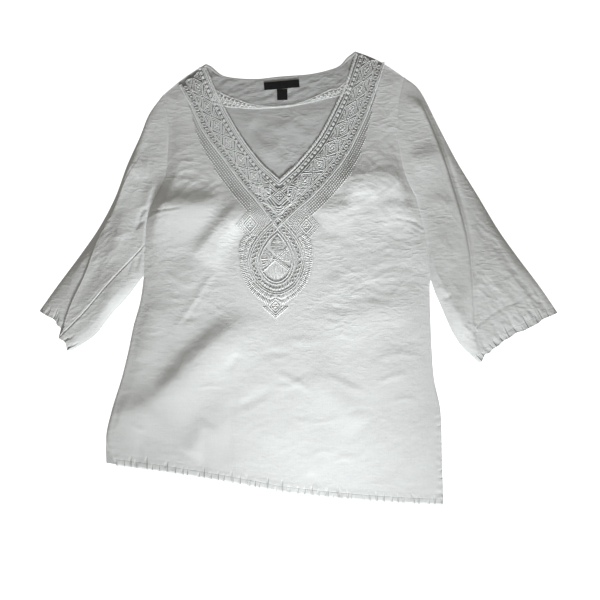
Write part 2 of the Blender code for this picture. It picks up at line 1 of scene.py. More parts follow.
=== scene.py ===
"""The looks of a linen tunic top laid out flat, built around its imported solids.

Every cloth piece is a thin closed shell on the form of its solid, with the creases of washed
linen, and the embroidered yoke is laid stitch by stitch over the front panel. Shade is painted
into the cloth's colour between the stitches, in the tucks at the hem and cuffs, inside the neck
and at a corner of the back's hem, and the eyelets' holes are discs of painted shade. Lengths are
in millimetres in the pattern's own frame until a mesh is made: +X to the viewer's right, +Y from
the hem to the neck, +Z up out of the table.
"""

from __future__ import annotations

import logging
import math
from dataclasses import dataclass, field
from enum import Enum
from typing import Callable, Iterable, Sequence, TypeVar

import bpy
import numpy as np
from bpy.types import Material, Object
from mathutils import Matrix, Vector

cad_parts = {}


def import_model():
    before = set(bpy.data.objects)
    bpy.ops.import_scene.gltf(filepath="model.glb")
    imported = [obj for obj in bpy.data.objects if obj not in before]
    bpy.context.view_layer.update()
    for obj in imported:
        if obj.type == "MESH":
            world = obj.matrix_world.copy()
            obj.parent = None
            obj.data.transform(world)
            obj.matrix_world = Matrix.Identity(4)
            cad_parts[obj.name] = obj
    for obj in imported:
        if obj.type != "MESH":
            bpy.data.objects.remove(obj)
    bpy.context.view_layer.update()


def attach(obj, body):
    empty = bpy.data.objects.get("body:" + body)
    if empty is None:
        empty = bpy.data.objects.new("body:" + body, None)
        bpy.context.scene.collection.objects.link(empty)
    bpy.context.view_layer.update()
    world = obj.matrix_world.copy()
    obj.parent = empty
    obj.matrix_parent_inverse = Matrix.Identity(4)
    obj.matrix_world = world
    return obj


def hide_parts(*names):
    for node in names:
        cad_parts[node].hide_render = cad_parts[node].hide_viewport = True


LOG = logging.getLogger("tunic")

MM = 0.001
PATTERN_MIDDLE = np.array((0.0, 4.0, 0.0))

# Heights of the cloth's layers above the table.
CLOTH = 1.0
FRONT_SEAM_TOP = 2.7
FRONT_AIR = 1.5
SEAM_RAMP = 25.0
FACING_LOW = 1.5
LABEL_LOW = 2.7

# How far from a stitched edge the rest of the cloth is taken to be.
FAR_FROM_EDGES = 500.0

# The two sides of the garment, with the way outwards along X.
SIDES = {"left": -1, "right": 1}

Array = np.ndarray
Pair = tuple[float, float]
Triple = tuple[float, float, float]
Line = tuple[Pair, ...]
Colour = tuple[float, float, float, float]
Record = TypeVar("Record")


def table(kind: Callable[..., Record], *rows: tuple) -> tuple[Record, ...]:
    """Records of one kind, each from a row of its values."""
    return tuple(kind(*row) for row in rows)


# Pattern


@dataclass(frozen=True)
class TorsoSection:
    """A line across the torso, below the V neck. The back's ends are the front's unless given."""

    name: str
    left: Pair
    centre: Pair
    right: Pair
    left_bow: float = 0.0
    right_bow: float = 0.0
    back_left: Pair | None = None
    back_right: Pair | None = None


@dataclass(frozen=True)
class YokeSection:
    """A line across each shoulder half, from the armhole to the neck edge."""

    name: str
    left: Pair
    neck_left: Pair
    neck_right: Pair
    right: Pair
    left_bow: float = 0.0
    right_bow: float = 0.0


TORSO = table(
    TorsoSection,
    ("hem", (-314, -308), (-39, -354), (251, -378), 3, -4, (-331, -303), (249, -373)),
    ("slit", (-329, -262), (-38, -290), (247, -296), 2, -2, (-330, -256), (245, -293)),
    ("slit_top", (-320, -214), (-38, -222), (243, -214), 0, 0, None, (242, -214)),
    ("hip", (-301, -155), (-37, -158), (231, -158)),
    ("low_waist", (-289, -110), (-37, -106), (226, -105)),
    ("waist", (-279, -66), (-36, -55), (223, -52)),
    ("high_waist", (-267, -25), (-36, -5), (221, 0)),
    ("underarm", (-260, 20), (-35, 40), (222, 14)),
    ("under_bust", (-257, 68), (-34, 80), (217, 60)),
    ("bust", (-250, 122), (-33, 122), (208, 102)),
    ("v_tip", (-234, 156), (-31.5, 181), (195, 150)),
)
YOKE = table(
    YokeSection,
    ("v_tip", (-234, 156), (-31.5, 181), (-31.5, 181), (195, 150)),
    ("low_v", (-220, 186), (-60, 206), (-2, 208), (177, 186)),
    ("mid_v", (-216, 219), (-89, 243), (31, 248), (167.5, 226)),
    ("high_v", (-214, 252), (-114, 284), (56, 293), (164, 264)),
    ("collar", (-216, 288), (-134, 323), (76, 336), (165.5, 306)),
    ("shoulder", (-222, 316), (-152, 366), (93, 386), (173, 344), 3, 5),
)
TIP = len(TORSO) - 1
UNDERARM = TIP - 3
SLIT_TOP = 2
TOP = TIP + len(YOKE) - 1

BACK_NECK = (
    (-152, 366), (-142, 361), (-129, 350), (-116, 345), (-89, 342), (-63, 342), (-37, 345),
    (-11, 347), (16, 349), (42, 354), (66, 362), (80, 376), (93, 386),
)  # fmt: skip
FACING_TOP = (
    (-141, 352), (-127, 346), (-114, 342), (-89, 340), (-63, 340), (-37, 343), (-11, 345),
    (16, 347), (43, 352), (67, 360), (80, 368),
)  # fmt: skip
FACING_FOOT = (
    (-146, 326), (-132, 319), (-118, 313), (-104, 309), (-85, 302), (-60, 299), (-37, 299),
    (-14, 301), (11, 307), (35, 316), (57, 326), (70, 327), (86, 340),
)  # fmt: skip
STRIP_FOOT = (
    (-136, 305), (-123, 300), (-104, 297), (-85, 296), (-60, 295), (-30, 296.5), (3, 301),
    (35, 309), (60, 315), (80, 323),
)  # fmt: skip


@dataclass(frozen=True)
class Fold:
    """A soft ridge (or trough, if its rise is below nought) of cloth along a crest.

    Widths are to the left and to the right of the crest, looking from its first point on.
    """

    crest: Line
    rise: float
    left_width: float
    right_width: float
    fade: float = 0.35


FOLDS = table(
    Fold,
    (((-262, 128), (-200, 131), (-150, 133), (-128, 136)), 9.0, 25, 46, 0.25),
    (((-240, 152), (-190, 154), (-130, 156)), 4.6, 92, 34),
    (((70, 178), (120, 176), (180, 172)), 4.2, 96, 34),
    (((-96, 140), (-124, 106), (-160, 64), (-172, 48)), 6.8, 60, 14, 0.42),
    (((-88, -58), (-117, -75), (-148, -98), (-184, -130), (-216, -162), (-254, -196)), 7.6, 46, 20, 0.42),
    (((-196, -128), (-226, -152), (-258, -186)), -1.2, 12, 16),
    (((-318, -224), (-276, -210), (-236, -198)), 3.4, 24, 44, 0.5),
    (((-236, -20), (-262, -130)), 2.5, 22, 22),
    (((72, 176), (130, 178), (192, 182)), 5.0, 24, 46),
    (((34, 124), (60, 130), (92, 134)), 3.4, 16, 30),
    (((20, 4), (44, 10), (74, 8)), 1.6, 12, 22),
    (((30, 72), (48, 76), (66, 74)), 1.4, 10, 20),
    (((40, -60), (190, -20)), 2.0, 20, 34),
    (((110, -240), (20, -140)), 2.0, 26, 26),
    (((-190, -290), (-150, -230)), 2.0, 18, 24),
    (((128, 126), (160, 132), (196, 128)), 3.0, 12, 26),
)

# Fine creases: sharp short ridges and troughs, where washed linen has kept its folds.
CREASES = table(
    Fold,
    (((-137, 34), (-171, -19), (-208, -70)), 1.2, 4, 6),
    (((-202, 39), (-186, 37), (-173, 37)), -0.7, 4, 4),
    (((-225, 24), (-196, 8), (-173, 3)), 0.8, 5, 4),
    (((-258, 5), (-236, 4), (-207, 6)), -0.5, 3, 3),
    (((-256, -3), (-230, -5), (-212, -3)), -0.5, 3, 4),
    (((-215, -18), (-195, -22)), 0.6, 4, 3),
    (((-178, -17), (-153, -23)), 0.6, 3, 4),
    (((-208, -49), (-185, -51), (-161, -48)), -0.6, 4, 4),
    (((-268, -79), (-248, -82), (-229, -81)), -0.6, 4, 4),
    (((-90, -12), (-91, -34), (-89, -50)), -0.7, 4, 5),
    (((-222, 48), (-198, 52), (-171, 50)), -0.9, 9, 9),
    (((-102, -112), (-110, -126), (-120, -138)), -1.0, 7, 7),
    (((-170, -170), (-150, -168), (-130, -169)), 0.6, 4, 3),
    (((-52, -178), (-74, -189), (-98, -204)), -1.1, 8, 9),
    (((-158, -237), (-162, -276), (-164, -318)), -1.1, 8, 8),
    (((-112, -186), (-117, -236), (-116, -300)), -0.8, 6, 8),
    (((-275, -262), (-272, -305)), -0.9, 6, 6),
    (((-214, -290), (-213, -316)), -0.7, 5, 5),
    (((-284, -233), (-275, -241), (-264, -245)), 0.7, 4, 4),
    (((-36, -147), (-10, -158), (18, -174)), 1.1, 6, 8),
    (((-40, -170), (-12, -166), (16, -150)), 0.7, 5, 6),
    (((49, -150), (80, -166), (110, -179)), 1.1, 6, 8),
    (((28, -286), (42, -281), (57, -284)), 0.5, 3, 4),
    (((20, -322), (27, -342)), -0.8, 6, 6),
    (((136, -120), (170, -113), (204, -118)), 0.7, 4, 5),
    (((138, -162), (158, -152), (182, -148)), 0.7, 4, 5),
    (((150, -92), (178, -96), (206, -90)), -0.6, 4, 5),
    (((160, -196), (182, -190), (203, -194)), 0.5, 4, 4),
    (((82, -8), (96, -12), (112, -12)), 0.7, 4, 4),
    (((20, -34), (52, -32), (84, -40)), -0.6, 5, 6),
    (((140, -22), (170, -18), (204, -24)), -0.6, 5, 5),
    (((132, 30), (160, 36), (196, 30)), -0.6, 5, 6),
    (((60, -78), (92, -84), (118, -80)), 0.6, 5, 5),
    (((-20, -86), (6, -92), (40, -88)), 0.6, 5, 6),
    (((-60, -116), (-34, -110), (-8, -116)), -0.6, 6, 6),
    (((-10, -226), (30, -232), (72, -222)), 0.5, 4, 5),
    (((84, -214), (104, -208), (130, -212)), -0.5, 4, 4),
    (((64, -300), (78, -292), (100, -296)), 0.5, 4, 4),
    (((-206, 232), (-188, 214), (-176, 190)), 0.7, 6, 8),
    (((118, 232), (134, 218), (152, 212)), 0.6, 5, 6),
    (((-230, 150), (-196, 158), (-150, 160)), -0.8, 8, 8),
)


def curve(knots: Sequence[Pair], at: Array) -> Array:
    """Points of the smooth curve through some knots.

    Args:
        knots: The knots, each a point or a value.
        at: Where to read it, with one unit from each knot to the next.

    Returns:
        One row of coordinates for each value of `at`.
    """
    knots = np.asarray(knots, float)
    if knots.ndim == 1:
        knots = knots[:, None]
    last = len(knots) - 1
    at = np.atleast_1d(np.asarray(at, float))
    index = np.clip(np.floor(at).astype(int), 0, last - 1)
    t = (at - index)[:, None]
    padded = np.vstack([2 * knots[0] - knots[1], knots, 2 * knots[-1] - knots[-2]])
    before, a, b, after = (padded[index + k] for k in range(4))
    return 0.5 * (
        2 * a
        + (b - before) * t
        + (2 * before - 5 * a + 4 * b - after) * t * t
        + (3 * a - before - 3 * b + after) * t**3
    )


def smooth_line(knots: Sequence[Pair], per_span: int = 12) -> Array:
    """The smooth curve through some knots as a polyline."""
    return curve(knots, np.linspace(0, len(knots) - 1, (len(knots) - 1) * per_span + 1))


def ease(t: Array | float) -> Array:
    """0 to 1, level at both ends."""
    t = np.clip(t, 0.0, 1.0)
    return t * t * (3 - 2 * t)


def run_lengths(line: Array) -> Array:
    """Distance along a polyline to each of its points."""
    steps = np.linalg.norm(np.diff(line, axis=0), axis=1)
    return np.concatenate([[0.0], np.cumsum(steps)])


def resampled(line: Array, count: int) -> Array:
    """Points evenly spaced along a line, ends included.

    Args:
        line: The line's places.
        count: How many points.

    Returns:
        The points.
    """
    length = run_lengths(line)
    at = np.linspace(0, length[-1], count)
    return np.stack([np.interp(at, length, line[:, k]) for k in range(line.shape[1])], axis=1)


def tangents(line: Array) -> Array:
    """Unit directions along a polyline."""
    run = np.gradient(line, axis=0)
    return run / np.maximum(np.linalg.norm(run, axis=1), 1e-9)[:, None]


def arch(share: Array) -> Array:
    """0 at both ends and 1 in the middle."""
    return 4 * share * (1 - share)


def hill(distance: Array, width: Array | float) -> Array:
    """1 at no distance, and next to nothing at twice the width."""
    return np.exp(-((distance / width) ** 2))


def left_of(directions: Array) -> Array:
    """Directions turned a quarter to the left."""
    return np.stack([-directions[:, 1], directions[:, 0]], axis=1)


def turned(directions: Array, degrees: float) -> Array:
    """Directions turned to the left by an angle."""
    angle = math.radians(degrees)
    return directions * math.cos(angle) + left_of(directions) * math.sin(angle)


def beside(line: Array, reach: Array | float) -> Array:
    """A line moved to the left of its run."""
    return line + left_of(tangents(line)) * np.reshape(reach, (-1, 1))


def spaced(line: Array, pitch: float) -> Array:
    """Points about one pitch apart along a line, ends included."""
    return resampled(line, max(2, int(round(run_lengths(line)[-1] / pitch)) + 1))


def ruled(first: Array, last: Array, share: Array) -> Array:
    """Places between two lines: a row for each of their points, a column for each share."""
    return first[:, None] + (last - first)[:, None] * share[:, None]


def raised(places: Array, height: Array | float) -> Array:
    """Places with their heights."""
    return np.column_stack([places, np.broadcast_to(height, (len(places),))])


def nearest_on(points: Array, line: Array, block: int = 20000) -> tuple[Array, Array, Array]:
    """Where points lie beside a polyline.

    Args:
        points: The points, one row each.
        line: The polyline's points.
        block: How many points are worked out at a time.

    Returns:
        Distances, sides (from 1, to the left, to -1, smoothly round an end) and runs along the line.
    """
    line = np.asarray(line, float)
    start, step = line[:-1], np.diff(line, axis=0)
    squares = np.maximum((step * step).sum(1), 1e-9)
    lengths = run_lengths(line)
    results = []
    for first in range(0, len(points), block):
        rel = points[first : first + block, None] - start[None]
        share = np.clip((rel * step).sum(2) / squares, 0, 1)
        off = rel - share[..., None] * step
        distance = np.hypot(off[..., 0], off[..., 1])
        best = distance.argmin(1)
        rows = np.arange(len(best))
        chosen = step[best]
        away = off[rows, best]
        near = distance[rows, best]
        cross = chosen[:, 0] * away[:, 1] - chosen[:, 1] * away[:, 0]
        side = cross / np.maximum(np.sqrt(squares[best]) * near, 1e-6)
        run = lengths[best] + share[rows, best] * np.sqrt(squares[best])
        results.append((near, side, run))
    return tuple(np.concatenate(part) for part in zip(*results))


def inside(points: Array, outline: Array) -> Array:
    """Which points lie inside a closed outline.

    Args:
        points: The points.
        outline: The outline's places.

    Returns:
        A mask of the points.
    """
    x, y = points[:, 0], points[:, 1]
    result = np.zeros(len(points), bool)
    for (ax, ay), (bx, by) in zip(outline, np.roll(outline, -1, axis=0)):
        crosses = (ay > y) != (by > y)
        if ay != by:
            result ^= crosses & (x < (bx - ax) * (y - ay) / (by - ay) + ax)
    return result


def distance_to(points: Array, lines: Iterable[Array]) -> Array:
    """How far each point is from the nearest of some lines."""
    return np.min([nearest_on(points, line)[0] for line in lines], axis=0)


def depth_in(points: Array, outline: Array) -> Array:
    """How far each point is inside a closed outline, below nought outside it."""
    away = nearest_on(points, np.vstack([outline, outline[:1]]))[0]
    return away * np.where(inside(points, outline), 1, -1)


def runs_of(mask: Array) -> list[tuple[int, int]]:
    """Start and end of each stretch, longer than one, where a mask is true.

    Args:
        mask: The mask.

    Returns:
        A pair for each stretch.
    """
    padded = np.concatenate([[False], mask, [False]]).astype(int)
    starts, ends = (np.flatnonzero(np.diff(padded) == step) for step in (1, -1))
    return [(a, b) for a, b in zip(starts, ends) if b - a > 1]


def fold_height(fold: Fold, points: Array) -> Array:
    """The rise of one fold at each point: highest along its crest, fading at its ends.

    Args:
        fold: The fold.
        points: Places in the pattern's frame.

    Returns:
        The rises, in millimetres.
    """
    crest = smooth_line(fold.crest, 8) if len(fold.crest) > 2 else np.array(fold.crest, float)
    reach = 3 * max(fold.left_width, fold.right_width)
    low, high = crest.min(0) - reach, crest.max(0) + reach
    near = ((points > low) & (points < high)).all(1)
    result = np.zeros(len(points))
    if near.any():
        distance, side, run = nearest_on(points[near], crest)
        share = run / run_lengths(crest)[-1]
        width = (fold.left_width * (1 + side) + fold.right_width * (1 - side)) / 2
        taper = ease((share + 0.12) / fold.fade) * ease((1.12 - share) / fold.fade)
        result[near] = fold.rise * taper * hill(distance, width)
    return result


class CrumpleNoise:
    """Seeded gradient noise in the plane of the cloth, for its crumpled hand."""

    SIZE = 64

    def __init__(self, seed: int) -> None:
        """Draws the gradients from a seed."""
        angles = np.random.default_rng(seed).uniform(0, 2 * math.pi, (self.SIZE, self.SIZE))
        self.gradients = np.stack([np.cos(angles), np.sin(angles)], axis=-1)

    def plain(self, points: Array, long: float, short: float, turn: float = 0.0) -> Array:
        """Smooth noise from about -1 to 1.

        Args:
            points: Places in millimetres.
            long: Length of a wave along the turned X axis.
            short: Length of a wave across it.
            turn: The turn of its axes, in degrees.

        Returns:
            A value for each place.
        """
        x, y = (turned(points, -turn) / (long, short)).T
        column, row = np.floor(x).astype(int), np.floor(y).astype(int)
        u, v = x - column, y - row
        corner = {}
        for dx, dy in ((0, 0), (0, 1), (1, 0), (1, 1)):
            g = self.gradients[(column + dx) % self.SIZE, (row + dy) % self.SIZE]
            corner[dx, dy] = g[:, 0] * (u - dx) + g[:, 1] * (v - dy)
        fu, fv = (t**3 * (t * (6 * t - 15) + 10) for t in (u, v))
        low, high = (corner[0, k] + (corner[1, k] - corner[0, k]) * fu for k in (0, 1))
        return 1.6 * (low + (high - low) * fv)

    def ridged(self, points: Array, long: float, short: float, turn: float = 0.0) -> Array:
        """Noise with narrow ridges, from 0 to 1, like pressed creases."""
        return np.clip(1 - 2.2 * np.abs(self.plain(points, long, short, turn)), 0, 1) ** 2

    def bent(self, points: Array, far: float, length: float) -> Array:
        """Places moved about a little, so that the noise read there bends."""
        return points + far * np.stack([self.plain(points + k, length, length) for k in (0, 200)], axis=1)


class BodyPattern:
    """The outlines of the front and back panels, read from their tables."""

    def edge(self, name: str, rows: Array) -> Array:
        """Points of a named edge line.

        Args:
            name: A column of the tables, such as left, neck_left or back_right.
            rows: Rows, counted in sections from the hem.

        Returns:
            A point for each row.
        """
        rows = np.atleast_1d(np.asarray(rows, float))
        front = "centre" if name.startswith("neck") else name.removeprefix("back_")
        low = curve([getattr(s, name, None) or getattr(s, front) for s in TORSO], np.minimum(rows, TIP))
        if name.startswith("back"):
            return low
        high = curve([getattr(s, name) for s in YOKE], np.maximum(rows - TIP, 0))
        return np.where((rows <= TIP)[:, None], low, high)

    def bow(self, side: str, rows: Array) -> Array:
        """How far the middle of each half row rises above a straight line.

        Args:
            side: Side of the garment.
            rows: The rows.

        Returns:
            The rises.
        """
        parts = ((TORSO, np.minimum(rows, TIP)), (YOKE, np.maximum(rows - TIP, 0)))
        low, high = (curve([getattr(s, side + "_bow") for s in part], at)[:, 0] for part, at in parts)
        return np.where(rows <= TIP, low, high)

    def even_rows(self, first: float, last: float, spacing: float) -> Array:
        """Rows that lie about one spacing apart on the cloth, with both ends.

        Args:
            first: The first row.
            last: The last row.
            spacing: The spacing.

        Returns:
            The rows.
        """
        fine = np.linspace(first, last, 400)
        lines = [self.edge(name, fine) for name in ("left", "neck_left", "right", "neck_right")]
        length = np.mean([run_lengths(line) for line in lines], axis=0)
        count = max(2, int(round(length[-1] / spacing)) + 1)
        return np.interp(np.linspace(0, length[-1], count), length, fine)

    def hem(self) -> Array:
        """The front's bottom edge, from left to right.

        Returns:
            The edge's places.
        """
        share = np.linspace(0, 1, 40)
        halves = []
        for side in SIDES:
            end = self.edge(side, 0)[0]
            line = end + (np.array(TORSO[0].centre, float) - end) * share[:, None]
            line[:, 1] += self.bow(side, np.zeros(1))[0] * arch(share)
            halves.append(line)
        return np.vstack([halves[0], halves[1][::-1][1:]])

    def seams(self) -> dict[str, Array]:
        """The front's seams and edges, apart from its neck.

        Returns:
            The places of each, by name.
        """
        rows = np.linspace(0, TOP, 121)
        return {
            "left": self.edge("left", rows),
            "right": self.edge("right", rows),
            "hem": self.hem(),
            "left_shoulder": np.array((YOKE[-1].left, YOKE[-1].neck_left), float),
            "right_shoulder": np.array((YOKE[-1].neck_right, YOKE[-1].right), float),
        }


# Front relief


@dataclass
class FrontRelief:
    """The height of the front panel's outer surface, with its folds, hems and bust darts."""

    pattern: BodyPattern
    calm_centre: Pair = (-36.0, 34.0)
    calm_radius: float = 92.0
    calm_band: float = 66.0
    calm_fade: float = 26.0
    smooth_centre: Pair = (-186, 112)
    smooth_size: Pair = (54, 52)
    hem_depth: float = 20.0
    slit_hem_depth: float = 10.0
    neck_drop: float = 1.9
    darts: tuple[Line, ...] = (
        ((-249, 116), (-240, 122), (-216, 127), (-188, 130)),
        ((208, 96), (192, 105), (176, 110), (156, 113)),
    )
    noise: CrumpleNoise = field(default_factory=lambda: CrumpleNoise(11))

    def __post_init__(self) -> None:
        """Reads the seam lines once."""
        self.lines = self.pattern.seams()
        self.neck = [self.pattern.edge("neck_" + side, np.linspace(TIP, TOP, 61)) for side in SIDES]
        self.slits = [self.pattern.edge(side, np.linspace(0, SLIT_TOP, 40)) for side in SIDES]

    def beyond_work(self, points: Array) -> Array:
        """How far each point is outside the embroidered ground."""
        medallion = np.linalg.norm(points - np.array(self.calm_centre), axis=1)
        return np.minimum(distance_to(points, self.neck) - self.calm_band, medallion - self.calm_radius)

    def crumple(self, points: Array) -> Array:
        """The uneven surface of washed linen, in millimetres.

        Args:
            points: Places in the pattern's frame.

        Returns:
            The heights.
        """
        n = self.noise
        patches = ease(0.4 + 1.1 * n.plain(points, 110, 90, 20))
        drawn = 0.2 + 0.85 * ease((points[:, 1] + 190) / 250) + 0.25 * ease((points[:, 1] - 60) / 100)
        bent = n.bent(points, 5.0, 40)
        broad = 0.62 * n.plain(points, 84, 62, 32) + 0.26 * n.plain(points + 500, 46, 36, -40)
        fine = 0.20 * n.plain(bent + 900, 26, 12, 12) + 0.12 * n.plain(bent, 13, 8, -30)
        pressed = 0.34 * n.ridged(bent + 300, 62, 22, 28) + 0.30 * n.ridged(bent + 700, 44, 17, -34)
        return broad * (0.6 + 0.5 * drawn) + (0.15 + drawn) * (fine + (0.25 + patches) * pressed)

    def hem_detail(self, points: Array) -> Array:
        """Doubled hems, their stitched lines and the ripples that the stitching draws up.

        Args:
            points: Places in the pattern's frame.

        Returns:
            The heights.
        """
        hem, _, run = nearest_on(points, self.lines["hem"])
        ripple = 0.5 + 0.5 * np.sin(run * 2 * math.pi / 13.4 + 2.0 * np.sin(run / 23.0))
        height = 0.5 * ripple * ease(hem / 2) * ease((16 - hem) / 9)
        height += 0.12 * ease((self.hem_depth - hem) / 3) - 0.045 * hill(hem - self.hem_depth, 1.6)
        for line, drawn in zip(self.slits, (0.08, 0.3)):
            slit, _, down = nearest_on(points, line)
            height += 0.3 * ease((self.slit_hem_depth - slit) / 2.5)
            pucker = np.sin(down * 2 * math.pi / 13.0 + np.sin(down / 9.0))
            height += drawn * pucker * ease((13 - slit) / 6) * ease(slit / 2)
        return height

    def edge_map(self, points: Array) -> Array:
        """Run along the hem or right slit, and distance from it, for the ripples of the stitching.

        Args:
            points: Places in the pattern's frame.

        Returns:
            Run and distance of each point.
        """
        hem, _, run = nearest_on(points, self.lines["hem"])
        slit, _, up = nearest_on(points, self.slits[1])
        slit = slit * 1.1 + 14
        nearer = slit < hem
        return np.column_stack([np.where(nearer, 400 + up * 0.8, run), np.where(nearer, slit, hem)])

    def dart_relief(self, points: Array) -> Array:
        """The bust darts: a thin standing seam with a pressed line above it.

        Args:
            points: Places in the pattern's frame.

        Returns:
            The heights.
        """
        height = np.zeros(len(points))
        for dart, upwards in zip(self.darts, (1, -1)):
            line = smooth_line(dart)
            distance, side, run = nearest_on(points, line)
            above = distance * side * upwards
            fade = ease((run_lengths(line)[-1] - run) / 16)
            tick = 0.5 + 0.5 * np.sin(run * 2 * math.pi / 9.0 + 1.4 * np.sin(run / 7.0))
            height += fade * (0.8 * hill(above + 0.4, 1.5) - (0.5 + 0.7 * tick) * hill(above - 2.8, 2.0))
        return height

    def height(self, points: Array) -> Array:
        """Height of the outer surface above the table, in millimetres.

        Args:
            points: Places in the pattern's frame.

        Returns:
            The heights.
        """
        seam = distance_to(points, self.lines.values())
        beyond = self.beyond_work(points)
        folds = sum(fold_height(f, points) for f in FOLDS) * ease((beyond + 18) / 34)
        creases = 0.75 * sum(fold_height(f, points) for f in CREASES)
        smooth = np.exp(-(((points - self.smooth_centre) / self.smooth_size) ** 2).sum(axis=1))
        fine = creases + self.crumple(points) * (1 - 0.7 * smooth)
        fine *= 0.15 + 0.85 * ease(beyond / self.calm_fade)
        hem = nearest_on(points, self.lines["hem"])[0]
        top = FRONT_SEAM_TOP + np.minimum(ease(seam / SEAM_RAMP), ease(hem / 120)) * FRONT_AIR
        top -= self.neck_drop * (1 - ease(distance_to(points, self.neck) / 55))
        top += folds * ease((seam + 4) / 22) + fine * ease(seam / 10)
        rounded = np.where(points[:, 1] > TORSO[UNDERARM].left[1], 0.25, 1.3) * (1 - ease(seam / 3.0))
        return top + (self.hem_detail(points) + self.dart_relief(points)) * ease(seam / 2.5) - rounded


# Node materials


class Signal:
    """An output of a node, on which sums are written as on a number."""

    def __init__(self, graph: NodeGraph, socket: bpy.types.NodeSocket) -> None:
        """Keeps the socket and the graph that it is in."""
        self.graph = graph
        self.socket = socket

    def math(self, operation: str, *values: Signal | float) -> Signal:
        """The result of a Math node."""
        return self.graph.node("ShaderNodeMath", {"operation": operation}, dict(enumerate(values)))

    def __add__(self, other: Signal | float) -> Signal:
        """Sum."""
        return self.math("ADD", self, other)

    __radd__ = __add__

    def __sub__(self, other: Signal | float) -> Signal:
        """Difference."""
        return self.math("SUBTRACT", self, other)

    def __rsub__(self, other: float) -> Signal:
        """Difference from a number."""
        return self.math("SUBTRACT", other, self)

    def __mul__(self, other: Signal | float) -> Signal:
        """Product."""
        return self.math("MULTIPLY", self, other)

    __rmul__ = __mul__

    def sine(self) -> Signal:
        """Sine."""
        return self.math("SINE", self)

    def absolute(self) -> Signal:
        """Size without its sign."""
        return self.math("ABSOLUTE", self)

    def clamped(self) -> Signal:
        """Held between 0 and 1."""
        return self.math("MAXIMUM", self.math("MINIMUM", self, 1.0), 0.0)


class NodeGraph:
    """The node tree of one material."""

    def __init__(self, name: str) -> None:
        """Makes the material and finds its shader.

        Args:
            name: The material's name.
        """
        self.material = bpy.data.materials.new(name)
        self.material.use_nodes = True
        self.tree = self.material.node_tree
        self.shader = self.tree.nodes["Principled BSDF"]

    def node(
        self, kind: str, settings: dict[str, object] | None = None,
        inputs: dict[str | int, object] | None = None, output: str | int = 0,
    ) -> Signal:  # fmt: skip
        """Makes a node.

        Args:
            kind: The node's type.
            settings: Its own settings, set first.
            inputs: Values or signals for its sockets, by name or number.
            output: Which output to return.

        Returns:
            The chosen output.
        """
        made = self.tree.nodes.new(kind)
        for key, value in (settings or {}).items():
            setattr(made, key, value)
        self.feed(made, inputs or {})
        return Signal(self, made.outputs[output])

    def feed(self, node: bpy.types.Node, inputs: dict[str | int, object]) -> None:
        """Links signals to a node's sockets, and sets those that are given a plain value.

        Args:
            node: The node.
            inputs: What each socket gets, by name or number.
        """
        for key, value in inputs.items():
            if isinstance(value, Signal):
                self.tree.links.new(value.socket, node.inputs[key])
            else:
                node.inputs[key].default_value = value

    def place(self, scale: Triple | float, turn: float = 0.0) -> Signal:
        """Object coordinates, scaled and turned about Z.

        Args:
            scale: Scale, of each axis or of all.
            turn: Turn about Z, in degrees.

        Returns:
            The coordinates.
        """
        scale = scale if isinstance(scale, tuple) else (scale, scale, scale)
        where = self.node("ShaderNodeTexCoord", output="Object")
        inputs = {"Vector": where, "Scale": scale, "Rotation": (0.0, 0.0, math.radians(turn))}
        return self.node("ShaderNodeMapping", None, inputs)

    def stitch_map(self) -> tuple[Signal, Signal]:
        """The two values of the mesh's UV map, in millimetres."""
        return self.split(self.node("ShaderNodeUVMap", {"uv_map": "stitch"}))

    def split(self, vector: Signal) -> tuple[Signal, Signal]:
        """The X and Y parts of a vector."""
        across = self.node("ShaderNodeSeparateXYZ", None, {"Vector": vector}, "X")
        return across, Signal(self, across.socket.node.outputs["Y"])

    def noise(self, where: Signal, detail: float = 2.0, rough: float = 0.5) -> Signal:
        """Noise from 0 to 1, with waves of one unit."""
        inputs = {"Vector": where, "Scale": 1.0, "Detail": detail, "Roughness": rough}
        return self.node("ShaderNodeTexNoise", None, inputs)

    def wander(self, run: Signal, lane: float, detail: float) -> Signal:
        """Noise along a line, from 0 to 1."""
        return self.noise(self.node("ShaderNodeCombineXYZ", None, {"X": run, "Y": lane}), detail)

    def attribute(self, name: str) -> Signal:
        """A number that the mesh carries at each point."""
        settings = {"attribute_name": name, "attribute_type": "GEOMETRY"}
        return self.node("ShaderNodeAttribute", settings, output="Fac")

    def blend(self, share: Signal, first: object, second: object) -> Signal:
        """A colour between two, or between a signal and a colour."""
        inputs = {"Factor": share, 6: first, 7: second}
        return self.node("ShaderNodeMix", {"data_type": "RGBA"}, inputs, 2)

    def bump(self, height: Signal, strength: float, distance: float, under: Signal | None = None) -> Signal:
        """A bent normal from a height in the same units as the distance.

        Args:
            height: The height.
            strength: How much of it shows.
            distance: Its scale.
            under: The normal below it.

        Returns:
            The normal.
        """
        inputs = {"Height": height, "Strength": strength, "Distance": distance}
        if under is not None:
            inputs["Normal"] = under
        return self.node("ShaderNodeBump", None, inputs)

    def finish(
        self, colour: Signal, normal: Signal, roughness: float, specular: float, sheen: float = 0.0
    ) -> Material:
        """Feeds the shader and gives the material.

        Args:
            colour: Base colour.
            normal: Bent normal.
            roughness: Roughness.
            specular: Specular level.
            sheen: Weight of the sheen.

        Returns:
            The material.
        """
        self.feed(self.shader, {"Base Color": colour, "Normal": normal, "Roughness": roughness})
        self.feed(self.shader, {"Specular IOR Level": specular, "Sheen Weight": sheen})
        return self.material


def grey(value: float, warm: float = 0.0) -> Colour:
    """A light grey, a little warmer or cooler."""
    return (value * (1 + warm), value, value * (1 - warm), 1.0)


